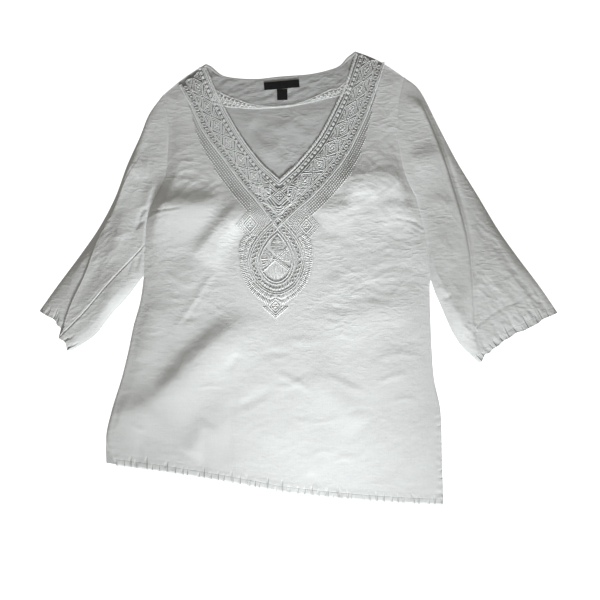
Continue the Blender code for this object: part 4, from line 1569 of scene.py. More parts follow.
@dataclass
class Sleeve:
    """A sleeve as a flattened tube, open at the armhole and the cuff."""

    pattern: BodyPattern
    side: str
    sections: tuple[SleeveSection, ...]
    creases: tuple[Fold, ...]
    underarm: Line
    cuff_line: Line
    seed: int
    outer_slope: float
    step_width: float
    rumple: float = 0.6
    pucker: float = 0.8
    columns: int = 108
    stations: int = 150
    edge_round: float = 1.5
    edge_points: int = 5
    cuff_hem: float = 50.0

    def value(self, name: str, station: float) -> Array:
        """A column of the sleeve's table, smoothed between its sections."""
        return curve([getattr(s, name) for s in self.sections], station)[0]

    def columns_at(self, station: float, marks: Sequence[float], width: float) -> Array:
        """Shares across a ring, with columns drawn towards its sharp lines.

        Args:
            station: Place along the sleeve.
            marks: Shares of the sharp lines.
            width: The ring's width.

        Returns:
            The shares.
        """
        share = np.linspace(0, 1, 500)
        density = 1 + sum(4 * hill((share - mark) * width, 5.0) for mark in marks)
        total = np.concatenate([[0], np.cumsum((density[1:] + density[:-1]) / 2)])
        drawn = np.interp(np.linspace(0, total[-1], self.columns), total, share)
        even = np.linspace(0, 1, self.columns)
        return even + (drawn - even) * float(ease(station / 2))

    def ring(self, station: float, seam: Array) -> tuple[Array, Array, Array, Array]:
        """Places across one ring, heights before creases, shares, and what lies past the fold.

        Args:
            station: Place along the sleeve.
            seam: The armhole's places.

        Returns:
            The four, for each column.
        """
        outer, inner = self.value("outer", station), self.value("inner", station)
        fold, step, air = (float(self.value(n, station)[0]) for n in ("fold_share", "fold_step", "air"))
        across = inner - outer
        width = float(np.linalg.norm(across))
        fine = np.linspace(0, 1, 120)
        stitched = float(fine[nearest_on(outer + across * fine[:, None], self.underarm)[0].argmin()])
        columns = self.columns_at(station, (fold, stitched), width)
        last = len(self.sections) - 1
        even = np.linspace(0, 1, self.columns)[:, None]
        cuff = curve(self.cuff_line, columns * (len(self.cuff_line) - 1))
        places = outer + across * columns[:, None]
        places += (seam - (seam[0] + (seam[-1] - seam[0]) * even)) * (1 - float(ease(station)))
        straight = cuff[0] + (cuff[-1] - cuff[0]) * columns[:, None]
        places += (cuff - straight) * float(ease((station - last + 0.55) / 0.55))
        outward = (fold - columns) * width
        slope = self.step_width * (1 - 0.55 * station / last)
        past = 1 - ease((1.0 if self.side == "right" else 0.5) + outward / slope)
        lens = self.bulge(columns * width / self.outer_slope) * self.bulge((1 - columns) * width / 22.0)
        lip, foot = 0.1 * hill(outward + slope, slope), -0.22 * hill(outward - slope, slope * 0.6)
        height = FRONT_SEAM_TOP + air * lens + (lip + foot) * step * lens
        height += step * past * np.minimum(1, (1 - columns) * 8)
        return places if station else seam, height, columns, past

    @staticmethod
    def bulge(share: Array) -> Array:
        """A rounded rise from 0 to 1 that then stays level."""
        share = np.clip(share, 0, 1)
        return 0.4 * np.sqrt(1 - (1 - share) ** 2) + 0.6 * share * (2 - share)

    def crumple(self, flat: Array, armhole: Array) -> Array:
        """The uneven surface of the cloth, with pressed ridges that lean across the sleeve.

        Args:
            flat: Places in the pattern's frame.
            armhole: Distance from the armhole.

        Returns:
            The heights.
        """
        noise, lean = CrumpleNoise(self.seed), -57 * SIDES[self.side]
        bent = noise.bent(flat, 4.0, 26)
        pressed = 1.3 * noise.ridged(bent, 44, 11, lean * 0.72)
        pressed += 0.8 * noise.ridged(bent + 400, 26, 8, lean * 0.5)
        patches = ease(0.6 + noise.plain(flat, 80, 50, lean)) * (0.25 + 0.75 * ease((armhole - 60) / 140))
        broad = self.rumple * (noise.plain(flat, 70, 40, lean) + patches * pressed)
        return broad + 0.16 * noise.plain(bent, 16, 9, lean + 20)

    def cuff_relief(self, along: Array, cuff: Array, past: Array) -> Array:
        """What the hem at the cuff draws up, and its stitched line.

        Args:
            along: Run across each ring.
            cuff: Distance from the cuff.
            past: What lies past the fold.

        Returns:
            The heights.
        """
        phase = (along + 2.5 * np.sin(along / 13.0)) / 8.4
        stroke = hill(phase % 1.0 - 0.5, 0.26)
        reach = 17 + 9 * np.sin(np.floor(phase) * 2.6)
        stitches = 0.7 + 0.3 * np.sin(along * 2 * math.pi / 3.4)
        groove = 0.3 * ease((self.cuff_hem - cuff) / 3) - 0.5 * stitches * hill(cuff - self.cuff_hem, 1.5)
        groove = groove * (1 - past if self.side == "right" else 0.3)
        return groove - self.pucker * stroke * ease((reach - cuff) / 14) * ease(cuff / 2.5)

    def build(self) -> Object:
        """Builds the tube, with its creases on the layer that shows.

        Returns:
            The piece.
        """
        seam = resampled(self.pattern.edge(self.side, np.linspace(TOP, UNDERARM, 200)), self.columns)
        stations = np.linspace(0, len(self.sections) - 1, self.stations)
        rings = [self.ring(float(s), seam) for s in stations]
        places, height, columns, past = (np.stack(part) for part in zip(*rings))
        cuff = np.linalg.norm(places - places[-1], axis=2)
        armhole = np.linalg.norm(places - places[0], axis=2)
        flat = places.reshape(-1, 2)
        creased = sum(fold_height(f, flat) for f in self.creases) + self.crumple(flat, armhole.ravel())
        along = np.cumsum(np.linalg.norm(np.diff(places, axis=1, prepend=places[:, :1]), axis=2), axis=1)
        relief = creased.reshape(height.shape) * ease(armhole / 12) + self.cuff_relief(along, cuff, past)
        relief = relief * ease(columns * 14) * ease((1 - columns) * 14)
        height = height + relief - 0.45 * (1 - ease(armhole / 1.6))
        return self.tube(places, height, np.stack([along, cuff], axis=2))

    def tube(self, places: Array, height: Array, edges: Array) -> Object:
        """Closes the upper and lower layers to a tube with an inner skin.

        Args:
            places: Places in the pattern's frame.
            height: Heights of the upper layer.
            edges: Run across and distance from the cuff, for the UV map.

        Returns:
            The piece.
        """
        across = places[:, -1] - places[:, 0]
        across /= np.linalg.norm(across, axis=1)[:, None]
        bulge = raised(across * self.edge_round, 0.0)
        angles = np.linspace(0, math.pi, self.edge_points + 2)[1:-1]
        skins = []
        for inset in (0.0, CLOTH):
            top, low = (np.dstack([places, z]) for z in (height - inset, np.full(height.shape, inset)))
            for sheet in (top, low):
                sheet[:, 0, :2] += across * inset
                sheet[:, -1, :2] -= across * inset
            caps = []
            for upper, under, sign in ((top[:, -1], low[:, -1], 1.0), (low[:, 0], top[:, 0], -1.0)):
                middle, half = (upper + under) / 2, (upper - under) / 2
                arc = [middle + half * math.cos(a) + bulge * sign * math.sin(a) for a in angles]
                caps.append(np.stack(arc, axis=1))
            skins.append(np.concatenate([top, caps[0], low[:, ::-1], caps[1]], axis=1))
        quads = grid_quads(closed_grid(*skins[0].shape[:2]))
        if self.side == "left":
            quads = quads[:, ::-1]
        ends = [np.repeat(edges[:, k][:, None], self.edge_points, axis=1) for k in (-1, 0)]
        edges = np.concatenate([edges, ends[0], edges[:, ::-1], ends[1]], axis=1).reshape(-1, 2)
        shape = Shape()
        add_shell(shape, *(skin.reshape(-1, 3) for skin in skins), quads, 0.0, edges)
        return shape.build(f"sleeve_{self.side}_cloth", Finish.LINEN, f"sleeve_{self.side}")


# Embroidery


class StitchWork:
    """Lays padded stitches on a ground, each a small closed bar, and joins them in one shape."""

    BAR = ((-0.5, -0.3), (-0.24, 1.0), (0.24, 1.0), (0.5, -0.3))
    SWELL = np.array((0.45, 1.0, 1.0, 0.45))
    CHANCE = ((12.99, 78.23), (39.35, 11.13))
    RAMP = 0.9
    BOLD = 1.3
    UNEVEN = 0.35
    EYELET_SIDES = 12
    PIT_DEPTH = 0.5

    def __init__(
        self, ground: Callable[[Array], Array], shape: Shape | None = None, lift: float = 1.15
    ) -> None:
        """Starts work on a ground, in stitches that stand `lift` times their stated rise.

        Args:
            ground: Gives the cloth's height at each place.
            shape: The shape to add to.
            lift: How much higher than stated.
        """
        self.ground = ground
        self.lift = lift
        self.shape = shape or Shape()

    def bars(self, centres: Array, along: Array, length: Array | float, width: float, rise: float) -> None:
        """Lays stitches.

        Args:
            centres: Their middles.
            along: Their unit directions.
            length: Their lengths.
            width: Their width.
            rise: How far they stand above the cloth.
        """
        count, steps = len(centres), len(self.SWELL)
        if not count:
            return
        half = np.broadcast_to(np.asarray(length, float) / 2, (count,))
        chance = [np.sin(centres @ np.array(k)) * 437.58 % 1.0 - 0.5 for k in self.CHANCE]
        along = along + left_of(along) * (chance[0] * self.UNEVEN)[:, None]
        along = along / np.linalg.norm(along, axis=1)[:, None]
        rise = (rise * (1 + 2 * self.UNEVEN * chance[1]))[:, None]
        ramp = np.minimum(self.RAMP, half * 0.6)
        station = np.stack([-half, ramp - half, half - ramp, half], axis=1)[..., None]
        side, up = np.array(self.BAR).T
        swell = self.SWELL[:, None]
        height = np.where(up > 0, self.lift * rise[..., None] * swell * up, up)
        across = left_of(along)[:, None] * np.ones((steps, 1))
        axis = centres[:, None] + along[:, None] * station
        self.tubes(axis, across, side * width * (0.6 + 0.4 * swell), height, (station, side * width), False)

    def tubes(
        self, axis: Array, outward: Array, reach: Array, height: Array, uv: tuple[Array, Array], closed: bool
    ) -> Array:
        """Adds tubes of four lines each, and returns the ground's height along them.

        Args:
            axis: The places along each tube.
            outward: The direction of its cross-section.
            reach: How far that way each line is.
            height: How high above the ground each line is.
            uv: The two values of the UV map.
            closed: Whether each tube is a ring.

        Returns:
            The ground's heights.
        """
        base = self.ground(axis.reshape(-1, 2)).reshape(axis.shape[:2])
        places = axis[:, :, None] + outward[:, :, None] * reach[..., None]
        points = np.concatenate([places, (base[..., None] + height)[..., None]], axis=3)
        uv = np.stack(np.broadcast_arrays(*uv, points[..., 0])[:2], axis=3)
        ring = closed_grid(axis.shape[1], 4)
        caps = [] if closed else [ring[:1, :-1], ring[-1:, -2::-1]]
        quads = grid_quads(np.vstack([ring, ring[:1]]) if closed else ring)
        self.shape.add_copies(points, [np.vstack([quads, *caps])], uv)
        return base

    def cord(self, line: Array, width: float, rise: float, pitch: float = 1.3) -> None:
        """A satin cord: short stitches across a line."""
        even = spaced(line, pitch)
        self.bars(even, left_of(tangents(even)), width + 0.4, pitch * 1.1, rise)

    def strand(self, line: Array, width: float, rise: float, stitch: float = 3.2, gap: float = 0.0) -> None:
        """A line of stitches laid end to end, or with gaps between.

        Args:
            line: The line's places.
            width: Their width.
            rise: Their rise.
            stitch: Their length.
            gap: The gap after each.
        """
        even = spaced(np.asarray(line, float), stitch + gap)
        step = even[1:] - even[:-1]
        length = np.linalg.norm(step, axis=1)
        share = stitch / (stitch + gap) if gap else 1.06
        along = step / np.maximum(length, 1e-6)[:, None]
        self.bars((even[:-1] + even[1:]) / 2, along, length * share, width * self.BOLD, rise)

    def chevron(self, corners: Array, width: float, rise: float, stitch: float = 2.8) -> None:
        """Stitched lines from corner to corner."""
        for ends in zip(corners, corners[1:]):
            self.strand(ends, width, rise, stitch)

    def nest(self, centre: Pair, rows: Sequence[tuple[Pair, float, float]], leaf_rise: float = 1.1) -> None:
        """Diamonds one inside the other, by half size, width and rise, round four leaves.

        Args:
            centre: The middle.
            rows: Size, width and rise of each.
            leaf_rise: The leaves' rise.
        """
        for (x, y), width, rise in rows:
            corners = np.array([(-x, 0), (0, y), (x, 0), (0, -y), (-x, 0)])
            self.chevron(centre + corners, width, rise, 3.0)
        self.quatrefoil(centre, 4.0, 1.8, leaf_rise)

    def blocks(self, line: Array, pitch: float, size: Pair, rise: float, slant: float = 90.0) -> None:
        """Separate padded blocks along a line, each of three stitches side by side.

        Args:
            line: The line that they follow.
            pitch: From one to the next.
            size: Their length along the line and across it.
            rise: How far they stand above the cloth.
            slant: The turn of their stitches from the line, in degrees.
        """
        even = spaced(line, pitch)
        run = tangents(even)
        for offset, share in ((-1, 0.8), (0, 1.0), (1, 0.8)):
            middles = even + run * (offset * size[0] / 3)
            self.bars(middles, turned(run, slant), size[1] * share, size[0] / 2.8, rise)

    def eyelets(self, centres: Array, along: Array, hole: Pair, rim: float = 1.2, rise: float = 1.3) -> None:
        """Oval eyelets: a stitched rim round a hole, whose floor is a disc of painted shade.

        Args:
            centres: Their middles.
            along: The directions of their long axes.
            hole: The long and short axis of the hole.
            rim: The width of the rim.
            rise: How far the rim stands above the cloth.
        """
        sides = self.EYELET_SIDES
        angles = np.linspace(0, 2 * math.pi, sides, endpoint=False)[:, None]
        out = np.cos(angles) * along[:, None] * hole[0] / 2
        out = out + np.sin(angles) * left_of(along)[:, None] * hole[1] / 2
        outward = out / np.linalg.norm(out, axis=2)[..., None]
        reach, height = np.array(((0.0, 0.3, 0.7, 1.0), (-0.3, rise, rise * 0.9, -0.3)))
        uv = (np.zeros(1), np.arange(sides)[:, None] * 1.1)
        base = self.tubes(centres[:, None] + out, outward, reach * rim, height, uv, True)
        # The hole's floor: a thin disc that takes the painted shade.
        floor = np.dstack([centres[:, None] + out * 0.98, base + 0.12])
        top = np.arange(sides)
        after = np.roll(top, -1)
        wall = np.stack([top, top + sides, after + sides, after], axis=1)
        discs = np.concatenate([floor, floor - (0, 0, self.PIT_DEPTH)], axis=1)
        self.shape.add_copies(discs, [top[None], top[None, ::-1] + sides, wall], shade=1.0)

    def petal(self, start: Array, end: Array, width: float, rise: float) -> None:
        """One padded leaf between two points.

        Args:
            start: One point.
            end: The other.
            width: Its width.
            rise: Its rise.
        """
        step = np.asarray(end, float) - start
        length = float(np.linalg.norm(step))
        self.bars((start + step / 2)[None], (step / length)[None], length, width * self.BOLD, rise)

    def quatrefoil(self, centre: Array, reach: float, width: float, rise: float) -> None:
        """Four leaves on the diagonals round a centre.

        Args:
            centre: The centre.
            reach: How far they reach.
            width: Their width.
            rise: Their rise.
        """
        for turn in np.radians((45, 135, 225, 315)):
            step = np.array((math.cos(turn), math.sin(turn))) * reach
            self.petal(centre + step * 0.2, centre + step, width, rise)

    def fill(self, outline: Array, direction: Pair, pitch: float, rise: float, cover: float = 0.9) -> None:
        """Parallel stitches in an outline, that cover that share of their ground.

        Args:
            outline: The outline's places.
            direction: The way the stitches lie.
            pitch: Spacing of their rows.
            rise: Their rise.
            cover: The share.
        """
        inset = 0.4
        along = np.array(direction, float) / np.linalg.norm(direction)
        across = np.array((-along[1], along[0]))
        u, v = outline @ along, outline @ across
        centres, lengths = [], []
        for row in np.arange(v.min() + pitch / 2, v.max(), pitch):
            cuts = sorted(
                u[k - 1] + (u[k] - u[k - 1]) * (row - v[k - 1]) / (v[k] - v[k - 1])
                for k in range(len(v))
                if (v[k - 1] > row) != (v[k] > row)
            )
            for low, high in zip(cuts[::2], cuts[1::2]):
                if high - low > 2 * inset + 0.4:
                    centres.append(along * (low + high) / 2 + across * row)
                    lengths.append(high - low - 2 * inset)
        directions = np.repeat(along[None], len(centres), axis=0)
        self.bars(np.array(centres), directions, np.array(lengths), pitch * cover, rise)


@dataclass(frozen=True)
class BandSection:
    """One line across the embroidered band, on both sides of the V neck."""

    neck_left: Pair
    outer_left: Pair
    neck_right: Pair
    outer_right: Pair


BAND = table(
    BandSection,
    ((-152, 366), (-195, 334), (93, 386), (141, 371)),
    ((-134, 323), (-175, 298), (76, 336), (123, 316)),
    ((-114, 284), (-156, 257), (56, 293), (103, 266)),
    ((-89, 243), (-124, 214), (31, 248), (74, 211)),
    ((-60, 206), (-91, 170), (-2, 208), (28, 157)),
    ((-45, 192.5), (-63, 137), (-17, 194), (-5, 128)),
    ((-31.5, 181), (-35, 99.5), (-31.5, 181), (-35, 99.5)),
)


@dataclass
class NeckEmbroidery:
    """The stitched band down both sides of the V, whose outer ribbons cross below its tip."""

    relief: FrontRelief
    shoulder_inset: float = 0.06
    motif_low: float = 0.335
    motif_high: float = 0.735
    motif_period: float = 34.5
    comb_spacing: float = 3.7

    @staticmethod
    def edges(side: str, at: Array) -> tuple[Array, Array]:
        """Points of the band's neck edge and of its outer line."""
        neck, outer = (curve([getattr(s, f"{edge}_{side}") for s in BAND], at) for edge in ("neck", "outer"))
        return neck, outer

    def across(self, side: str, at: Array, depth: Array | float) -> Array:
        """Places on the band, by their share of the way from the neck edge to the outer line."""
        neck, outer = self.edges(side, at)
        return neck + (outer - neck) * np.reshape(depth, (-1, 1))

    def edge_line(self, side: str, offset: float, at: Array) -> Array:
        """Places at a distance from the neck edge, joined at the tip.

        Args:
            side: Side of the garment.
            offset: The distance.
            at: Places along the edge.

        Returns:
            The line's places.
        """
        neck, outer = self.edges(side, at)
        plain = beside(neck, offset * SIDES[side])
        ruled_line = neck + (outer - neck) / np.linalg.norm(outer - neck, axis=1)[:, None] * offset * 1.35
        lean = ease((at - 5.0) / 0.9)[:, None]
        return plain * (1 - lean) + ruled_line * lean

    def build(self) -> Object:
        """Works the band.

        Returns:
            The piece.
        """
        work = StitchWork(self.relief.height, lift=1.4)
        for side in SIDES:
            self.work_edges(work, side, np.linspace(self.shoulder_inset, 6.0, 360))
            self.work_motifs(work, side)
            self.work_comb(work, side)
        self.work_tip(work)
        return work.shape.build("neck_stitching", Finish.THREAD, "neck_embroidery", 180)

    def work_edges(self, work: StitchWork, side: str, at: Array) -> None:
        """The binding, the fine lines, the blocks, the eyelets and the bold outer line.

        Args:
            work: The stitches so far.
            side: Side of the garment.
            at: Places along the edge.
        """
        if side == "right":
            work.blocks(self.edge_line(side, 3.2, at[at < 4.6]), 5.0, (4.4, 5.6), 0.9, 62)
            work.cord(self.edge_line(side, 3.2, at[at >= 4.6]), 5.0, 1.1)
        else:
            work.cord(self.edge_line(side, 2.2, at), 3.0, 1.1)
            work.cord(self.edge_line(side, 5.7, at), 2.2, 0.95)
        work.strand(self.edge_line(side, 8.3, at), 1.2, 0.8)
        work.blocks(self.edge_line(side, 11.9, at[at < 5.6]), 7.9, (5.2, 4.6), 0.9)
        for depth, width, rise in ((0.305, 1.2, 0.8), (0.755, 1.5, 0.95), (0.795, 1.1, 0.8)):
            work.strand(self.across(side, at, depth), width, rise)
        for depth, width, rise in ((0.965, 1.7, 1.1), (1.01, 2.3, 1.3)):
            work.cord(self.across(side, at, depth), width, rise)
        centre = self.across(side, at, 0.882)
        even = resampled(centre, int(run_lengths(centre)[-1] / 8.9))[1:-1]
        run = tangents(even)
        leaning = run * 0.87 - left_of(run) * 0.5 * SIDES[side]
        work.eyelets(even, leaning, (6.0, 4.2) if side == "left" else (5.4, 4.6))

    def work_motifs(self, work: StitchWork, side: str) -> None:
        """Nested diamonds down the middle of the band, with nested chevrons between.

        Args:
            work: The stitches so far.
            side: Side of the garment.
        """
        low, high = self.motif_low, self.motif_high
        middle, half = (low + high) / 2, (high - low) / 2
        at = np.linspace(self.shoulder_inset, 5.4, 300)
        length = run_lengths(self.across(side, at, middle))

        def spot(run: Sequence[float], share: Sequence[float]) -> Array:
            """The place at a run along the band and a share across it."""

            return self.across(side, np.interp(run, length, at), share)

        count = int(length[-1] / self.motif_period)
        places = length[-1] - 7 - self.motif_period * np.arange(count, -1, -1)
        for run in places:
            for size, width, rise in ((16.0, 1.5, 1.25), (12.0, 1.2, 1.0), (7.6, 1.5, 1.25)):
                tall = half * min(1.0, size / 16.0)
                shares = (middle, middle + tall, middle, middle - tall, middle)
                work.chevron(spot((run - size, run, run + size, run, run - size), shares), width, rise, 3.0)
            work.petal(*spot((run - 3.0, run + 3.0), (middle, middle)), 3.2, 1.2)
            work.quatrefoil(spot((run,), (middle,))[0], 6.0, 1.4, 0.9)
        for gap in [places[0] - self.motif_period / 2, *(places + self.motif_period / 2)]:
            if not -2 < gap < length[-1] - 6:
                continue
            for edge, sign in ((low, 1), (high, -1)):
                for size, width in ((10.5, 1.45), (7.2, 1.25)):
                    shares = (edge, edge + sign * half * size / 13, edge)
                    work.chevron(spot((gap - size, gap, gap + size), shares), width, 1.15)
                for offset, share in ((-2.0, 0.20), (0, 0.34), (2.0, 0.20)):
                    shares = (edge + sign * 0.02, edge + sign * half * share)
                    work.petal(*spot((gap + offset, gap + offset), shares), 1.7, 1.0)

    def work_comb(self, work: StitchWork, side: str) -> None:
        """The dashed lines outside the band, which widen towards the medallion.

        Args:
            work: The stitches so far.
            side: Side of the garment.
        """
        at = np.linspace(0.9, 4.85, 260)
        limit = 3.6 + 21.0 * ease((at - 0.6) / 3.0)
        for reach in 4.6 + self.comb_spacing * np.arange(6):
            shown = at[limit >= reach]
            if len(shown) > 4:
                work.strand(beside(self.edges(side, shown)[1], reach * SIDES[side]), 1.6, 0.95, 2.1, 1.5)

    def work_tip(self, work: StitchWork) -> None:
        """Below the V's tip: a nested diamond, leaves, arcs and chevrons.

        Args:
            work: The stitches so far.
        """
        work.nest((-32.0, 151.0), (((14.5, 13.5), 1.3, 0.9), ((10.4, 9.6), 1.5, 1.1), ((6.0, 5.5), 1.1, 0.9)))
        for sign, leaf in ((-1, np.array((-68.0, 164.0))), (1, np.array((2.5, 164.5)))):
            for scale, width in ((1.0, 1.3), (0.7, 1.1)):
                for up in (9.0, -9.0):
                    knots = np.array([(-13.0, sign * -3.0), (0.0, up), (13.0, sign * 3.0)])
                    work.strand(smooth_line(leaf + knots * scale, 10), width, 0.9, 2.6)
            work.quatrefoil(leaf, 4.4, 2.0, 1.1)
        for side in SIDES:
            for offset, start, end in ((15.2, 5.2, 5.82), (18.2, 5.36, 5.76), (21.2, 5.5, 5.7)):
                work.strand(self.edge_line(side, offset, np.linspace(start, end, 20)), 1.3, 0.85, 2.6)
            for share, start in ((0.52, 5.45), (0.61, 5.2), (0.69, 5.0)):
                work.strand(self.across(side, np.linspace(start, 5.97, 20), share), 1.3, 0.85, 2.6)
        for drop in (0.0, 4.0, 8.0, 11.6):
            spread, end = 30 - 1.25 * drop, 142 - drop * 0.5
            arc = [(-33 - spread, end), (-33, 133.5 - drop), (-33 + spread, end)]
            work.strand(smooth_line(arc, 14), 1.5, 0.95, 2.8)


@dataclass
class MedallionEmbroidery:
    """The drop-shaped medallion below the V, with side diamonds, comb stitches and a pendant."""

    relief: FrontRelief
    centre: Pair = (-37.5, 47.0)
    drop: Line = (
        (-35, 90.5), (-46.5, 80.5), (-56, 67.5), (-62.5, 54), (-64, 42), (-60, 26), (-50, 13.5),
        (-37, 8.5), (-24, 13.5), (-15, 26), (-11, 42), (-12.5, 54), (-18, 67.5), (-26, 80.5), (-35, 90.5),
    )  # fmt: skip
    loop: Line = (
        (-34, 116), (-47, 104.5), (-58, 94), (-68, 82.5), (-77, 68), (-82.5, 53), (-84, 36),
        (-78, 16), (-65, 0), (-51, -9), (-37, -12.5), (-23, -9.5), (-8, 0), (4, 17), (10.5, 36),
        (10, 53), (5, 68), (-3, 82.5), (-12, 94), (-22, 104.5), (-34, 116),
    )  # fmt: skip
    comb: Line = (
        (-84, 88), (-93, 82), (-98, 72), (-99, 58), (-98, 40), (-94, 20), (-87, 3), (-76, -12), (-63, -23),
        (-50, -30), (-38, -22), (-26, -30), (-13, -22), (1, -11), (13, 4), (20, 22), (23, 40), (23, 58),
        (22, 72), (18, 82), (10, 88),
    )  # fmt: skip

    def build(self) -> Object:
        """Works the medallion.

        Returns:
            The piece.
        """
        work = StitchWork(self.relief.height)
        outline, loop = smooth_line(self.drop, 8), smooth_line(self.loop, 10)
        self.work_drop(work, outline)
        self.work_loop(work, outline, loop)
        self.work_comb(work, loop)
        self.work_side_diamonds(work, loop)
        self.work_pendant(work)
        return work.shape.build("medallion_stitching", Finish.THREAD, "medallion_embroidery", 180)

    def work_drop(self, work: StitchWork, outline: Array) -> None:
        """The inner drop: a pinwheel of satin sectors and fine spokes.

        Args:
            work: The stitches so far.
            outline: The drop's outline.
        """
        work.cord(outline, 1.7, 1.2)
        centre = np.array(self.centre)
        for end, width in (((-16.5, 66), 1.5), ((-60, 25.5), 1.7), ((-15, 29), 1.5), ((-62, 47), 1.5)):
            work.strand((centre, end), width, 1.0, 5.5)
        for end in ((-16.5, 66), (-15, 29)):
            side = np.array((end[1] - centre[1], centre[0] - end[0]))
            side *= 2.6 / np.linalg.norm(side)
            for sign in (1, -1):
                work.strand((centre + side * sign, end + side * sign * 0.9), 1.0, 0.9, 5.0)
        for first, last, count in ((192, 222, 4), (136, 172, 6), (-10, 28, 7), (316, 322, 2)):
            for angle in np.radians(np.linspace(first, last, count)):
                step = np.array((math.cos(angle), math.sin(angle)))
                reach = self.reach_to(outline, step) - 2.6
                work.strand((centre + step * 6, centre + step * reach), 1.0, 0.8, 6.0)
        top = [(-37, 51), (-46.5, 64), (-43, 77), (-35.2, 84.5), (-28, 77), (-25.5, 64), (-37, 51)]
        work.fill(smooth_line(top, 6), (1.0, 0.05), 1.35, 1.25)
        low = np.array([(-37.5, 43), (-54, 24), (-46, 15.5), (-37, 12.0), (-28, 15.5), (-20, 25)], float)
        work.fill(low, (0.02, 1.0), 2.6, 0.5, 0.4)

    def reach_to(self, outline: Array, step: Array) -> float:
        """How far the outline is from the centre along a direction.

        Args:
            outline: The outline's places.
            step: The direction.

        Returns:
            The distance.
        """
        rel = outline - np.array(self.centre)
        angle = np.abs(np.arctan2(rel[:, 0] * step[1] - rel[:, 1] * step[0], rel @ step))
        return float(np.linalg.norm(rel[angle.argmin()]))

    def work_loop(self, work: StitchWork, outline: Array, loop: Array) -> None:
        """The ribbon round the drop: bold double lines with eyelets between, leaves at its foot.

        Args:
            work: The stitches so far.
            outline: The drop's outline.
            loop: The ribbon's outer edge.
        """
        work.cord(loop, 2.2, 1.1)
        work.cord(beside(loop, 3.4), 1.5, 0.9)
        tip = [(-35, 97)]
        work.cord(np.vstack([tip, beside(outline, -4.4)[2:-2], tip]), 1.7, 0.95)
        ribbon = beside(loop, 9.0)[8:-8]
        middle = resampled(ribbon, 33)
        run = tangents(middle)
        leaning = run * 0.94 + left_of(run) * 0.34
        high = middle[:, 1] >= 8
        work.eyelets(middle[high][1:-1], leaning[high][1:-1], (6.0, 4.4))
        work.blocks(resampled(ribbon[ribbon[:, 1] < 8], 15), 5.2, (3.6, 5.0), 1.05, 70)

    def work_comb(self, work: StitchWork, loop: Array) -> None:
        """Two tiers of short stitches round the medallion, pointing outwards.

        Args:
            work: The stitches so far.
            loop: The ribbon's outer edge.
        """
        line = smooth_line(self.comb, 8)
        outer = resampled(line, int(run_lengths(line)[-1] / 3.15))
        away, _, run = nearest_on(outer, loop)
        near = np.stack([np.interp(run, run_lengths(loop), loop[:, k]) for k in (0, 1)], axis=1)
        step = (outer - near) / np.maximum(away, 1e-6)[:, None]
        length = np.maximum(away - 2.0, 3.0)
        work.bars(outer - step * (length * 0.24)[:, None], step, length * 0.47, 2.1, 1.05)
        shifted = np.roll(step, 1, axis=0)
        work.bars(outer - step * (length * 0.76)[:, None], shifted, length * 0.45, 2.0, 1.0)

    def work_clear(self, work: StitchWork, line: Array, loop: Array) -> None:
        """Dashes along a line, where it is clear of the band and of the medallion's loop.

        Args:
            work: The stitches so far.
            line: The line's places.
            loop: The ribbon's outer edge.
        """
        at = np.linspace(0, 6, 60)
        clear = ~inside(line, beside(loop, -1.5)) & (line[:, 1] < 150) & (np.abs(line[:, 0] + 35) < 70)
        clear &= nearest_on(line, loop)[0] > 2.2
        for side in SIDES:
            neck, outer = NeckEmbroidery.edges(side, at)
            clear &= ~inside(line, np.vstack([neck, outer[::-1]])) & (nearest_on(line, outer)[0] > 2.2)
        clear &= ~inside(line, np.vstack([[(-35, 80)], smooth_line(self.comb, 6)]))
        for start, end in runs_of(clear):
            if end - start > 4:
                work.strand(line[start:end], 1.4, 0.95, 2.1, 1.4)

    def work_side_diamonds(self, work: StitchWork, loop: Array) -> None:
        """A nested diamond on each side, in the corner between band and medallion.

        Args:
            work: The stitches so far.
            loop: The ribbon's outer edge.
        """
        rows = (((10.4, 12), 1.6, 1.15), ((6.2, 7.2), 1.1, 0.9), ((15, 17.4), 1.2, 0.85))
        for centre, sign in zip(SIDE_DIAMONDS, SIDES.values()):
            work.nest(centre, rows)
            for reach in 18.8 + 3.6 * np.arange(7):
                tall = reach * 1.12
                corners = centre + np.array([(0, tall), (reach, 0), (0, -tall), (-reach, 0), (0, tall)])
                for ends in zip(corners, corners[1:]):
                    outward = (ends[0] + ends[1])[0] / 2 - centre[0]
                    if reach < 24 or outward * sign <= 0:
                        self.work_clear(work, resampled(np.array(ends), 60), loop)

    def work_pendant(self, work: StitchWork) -> None:
        """The small nested diamond that hangs at the foot.

        Args:
            work: The stitches so far.
        """
        work.nest((-38.6, -32.0), (((12.2, 12.6), 1.5, 1.1), ((7.6, 7.8), 1.2, 0.95)), 1.05)
        for grow in (0.0, 3.4):
            work.chevron([(-56 - grow, -33), (-38.6, -48.6 - grow), (-21 + grow, -33)], 1.5, 1.0)


SIDE_DIAMONDS = ((-80.5, 104), (13, 102))


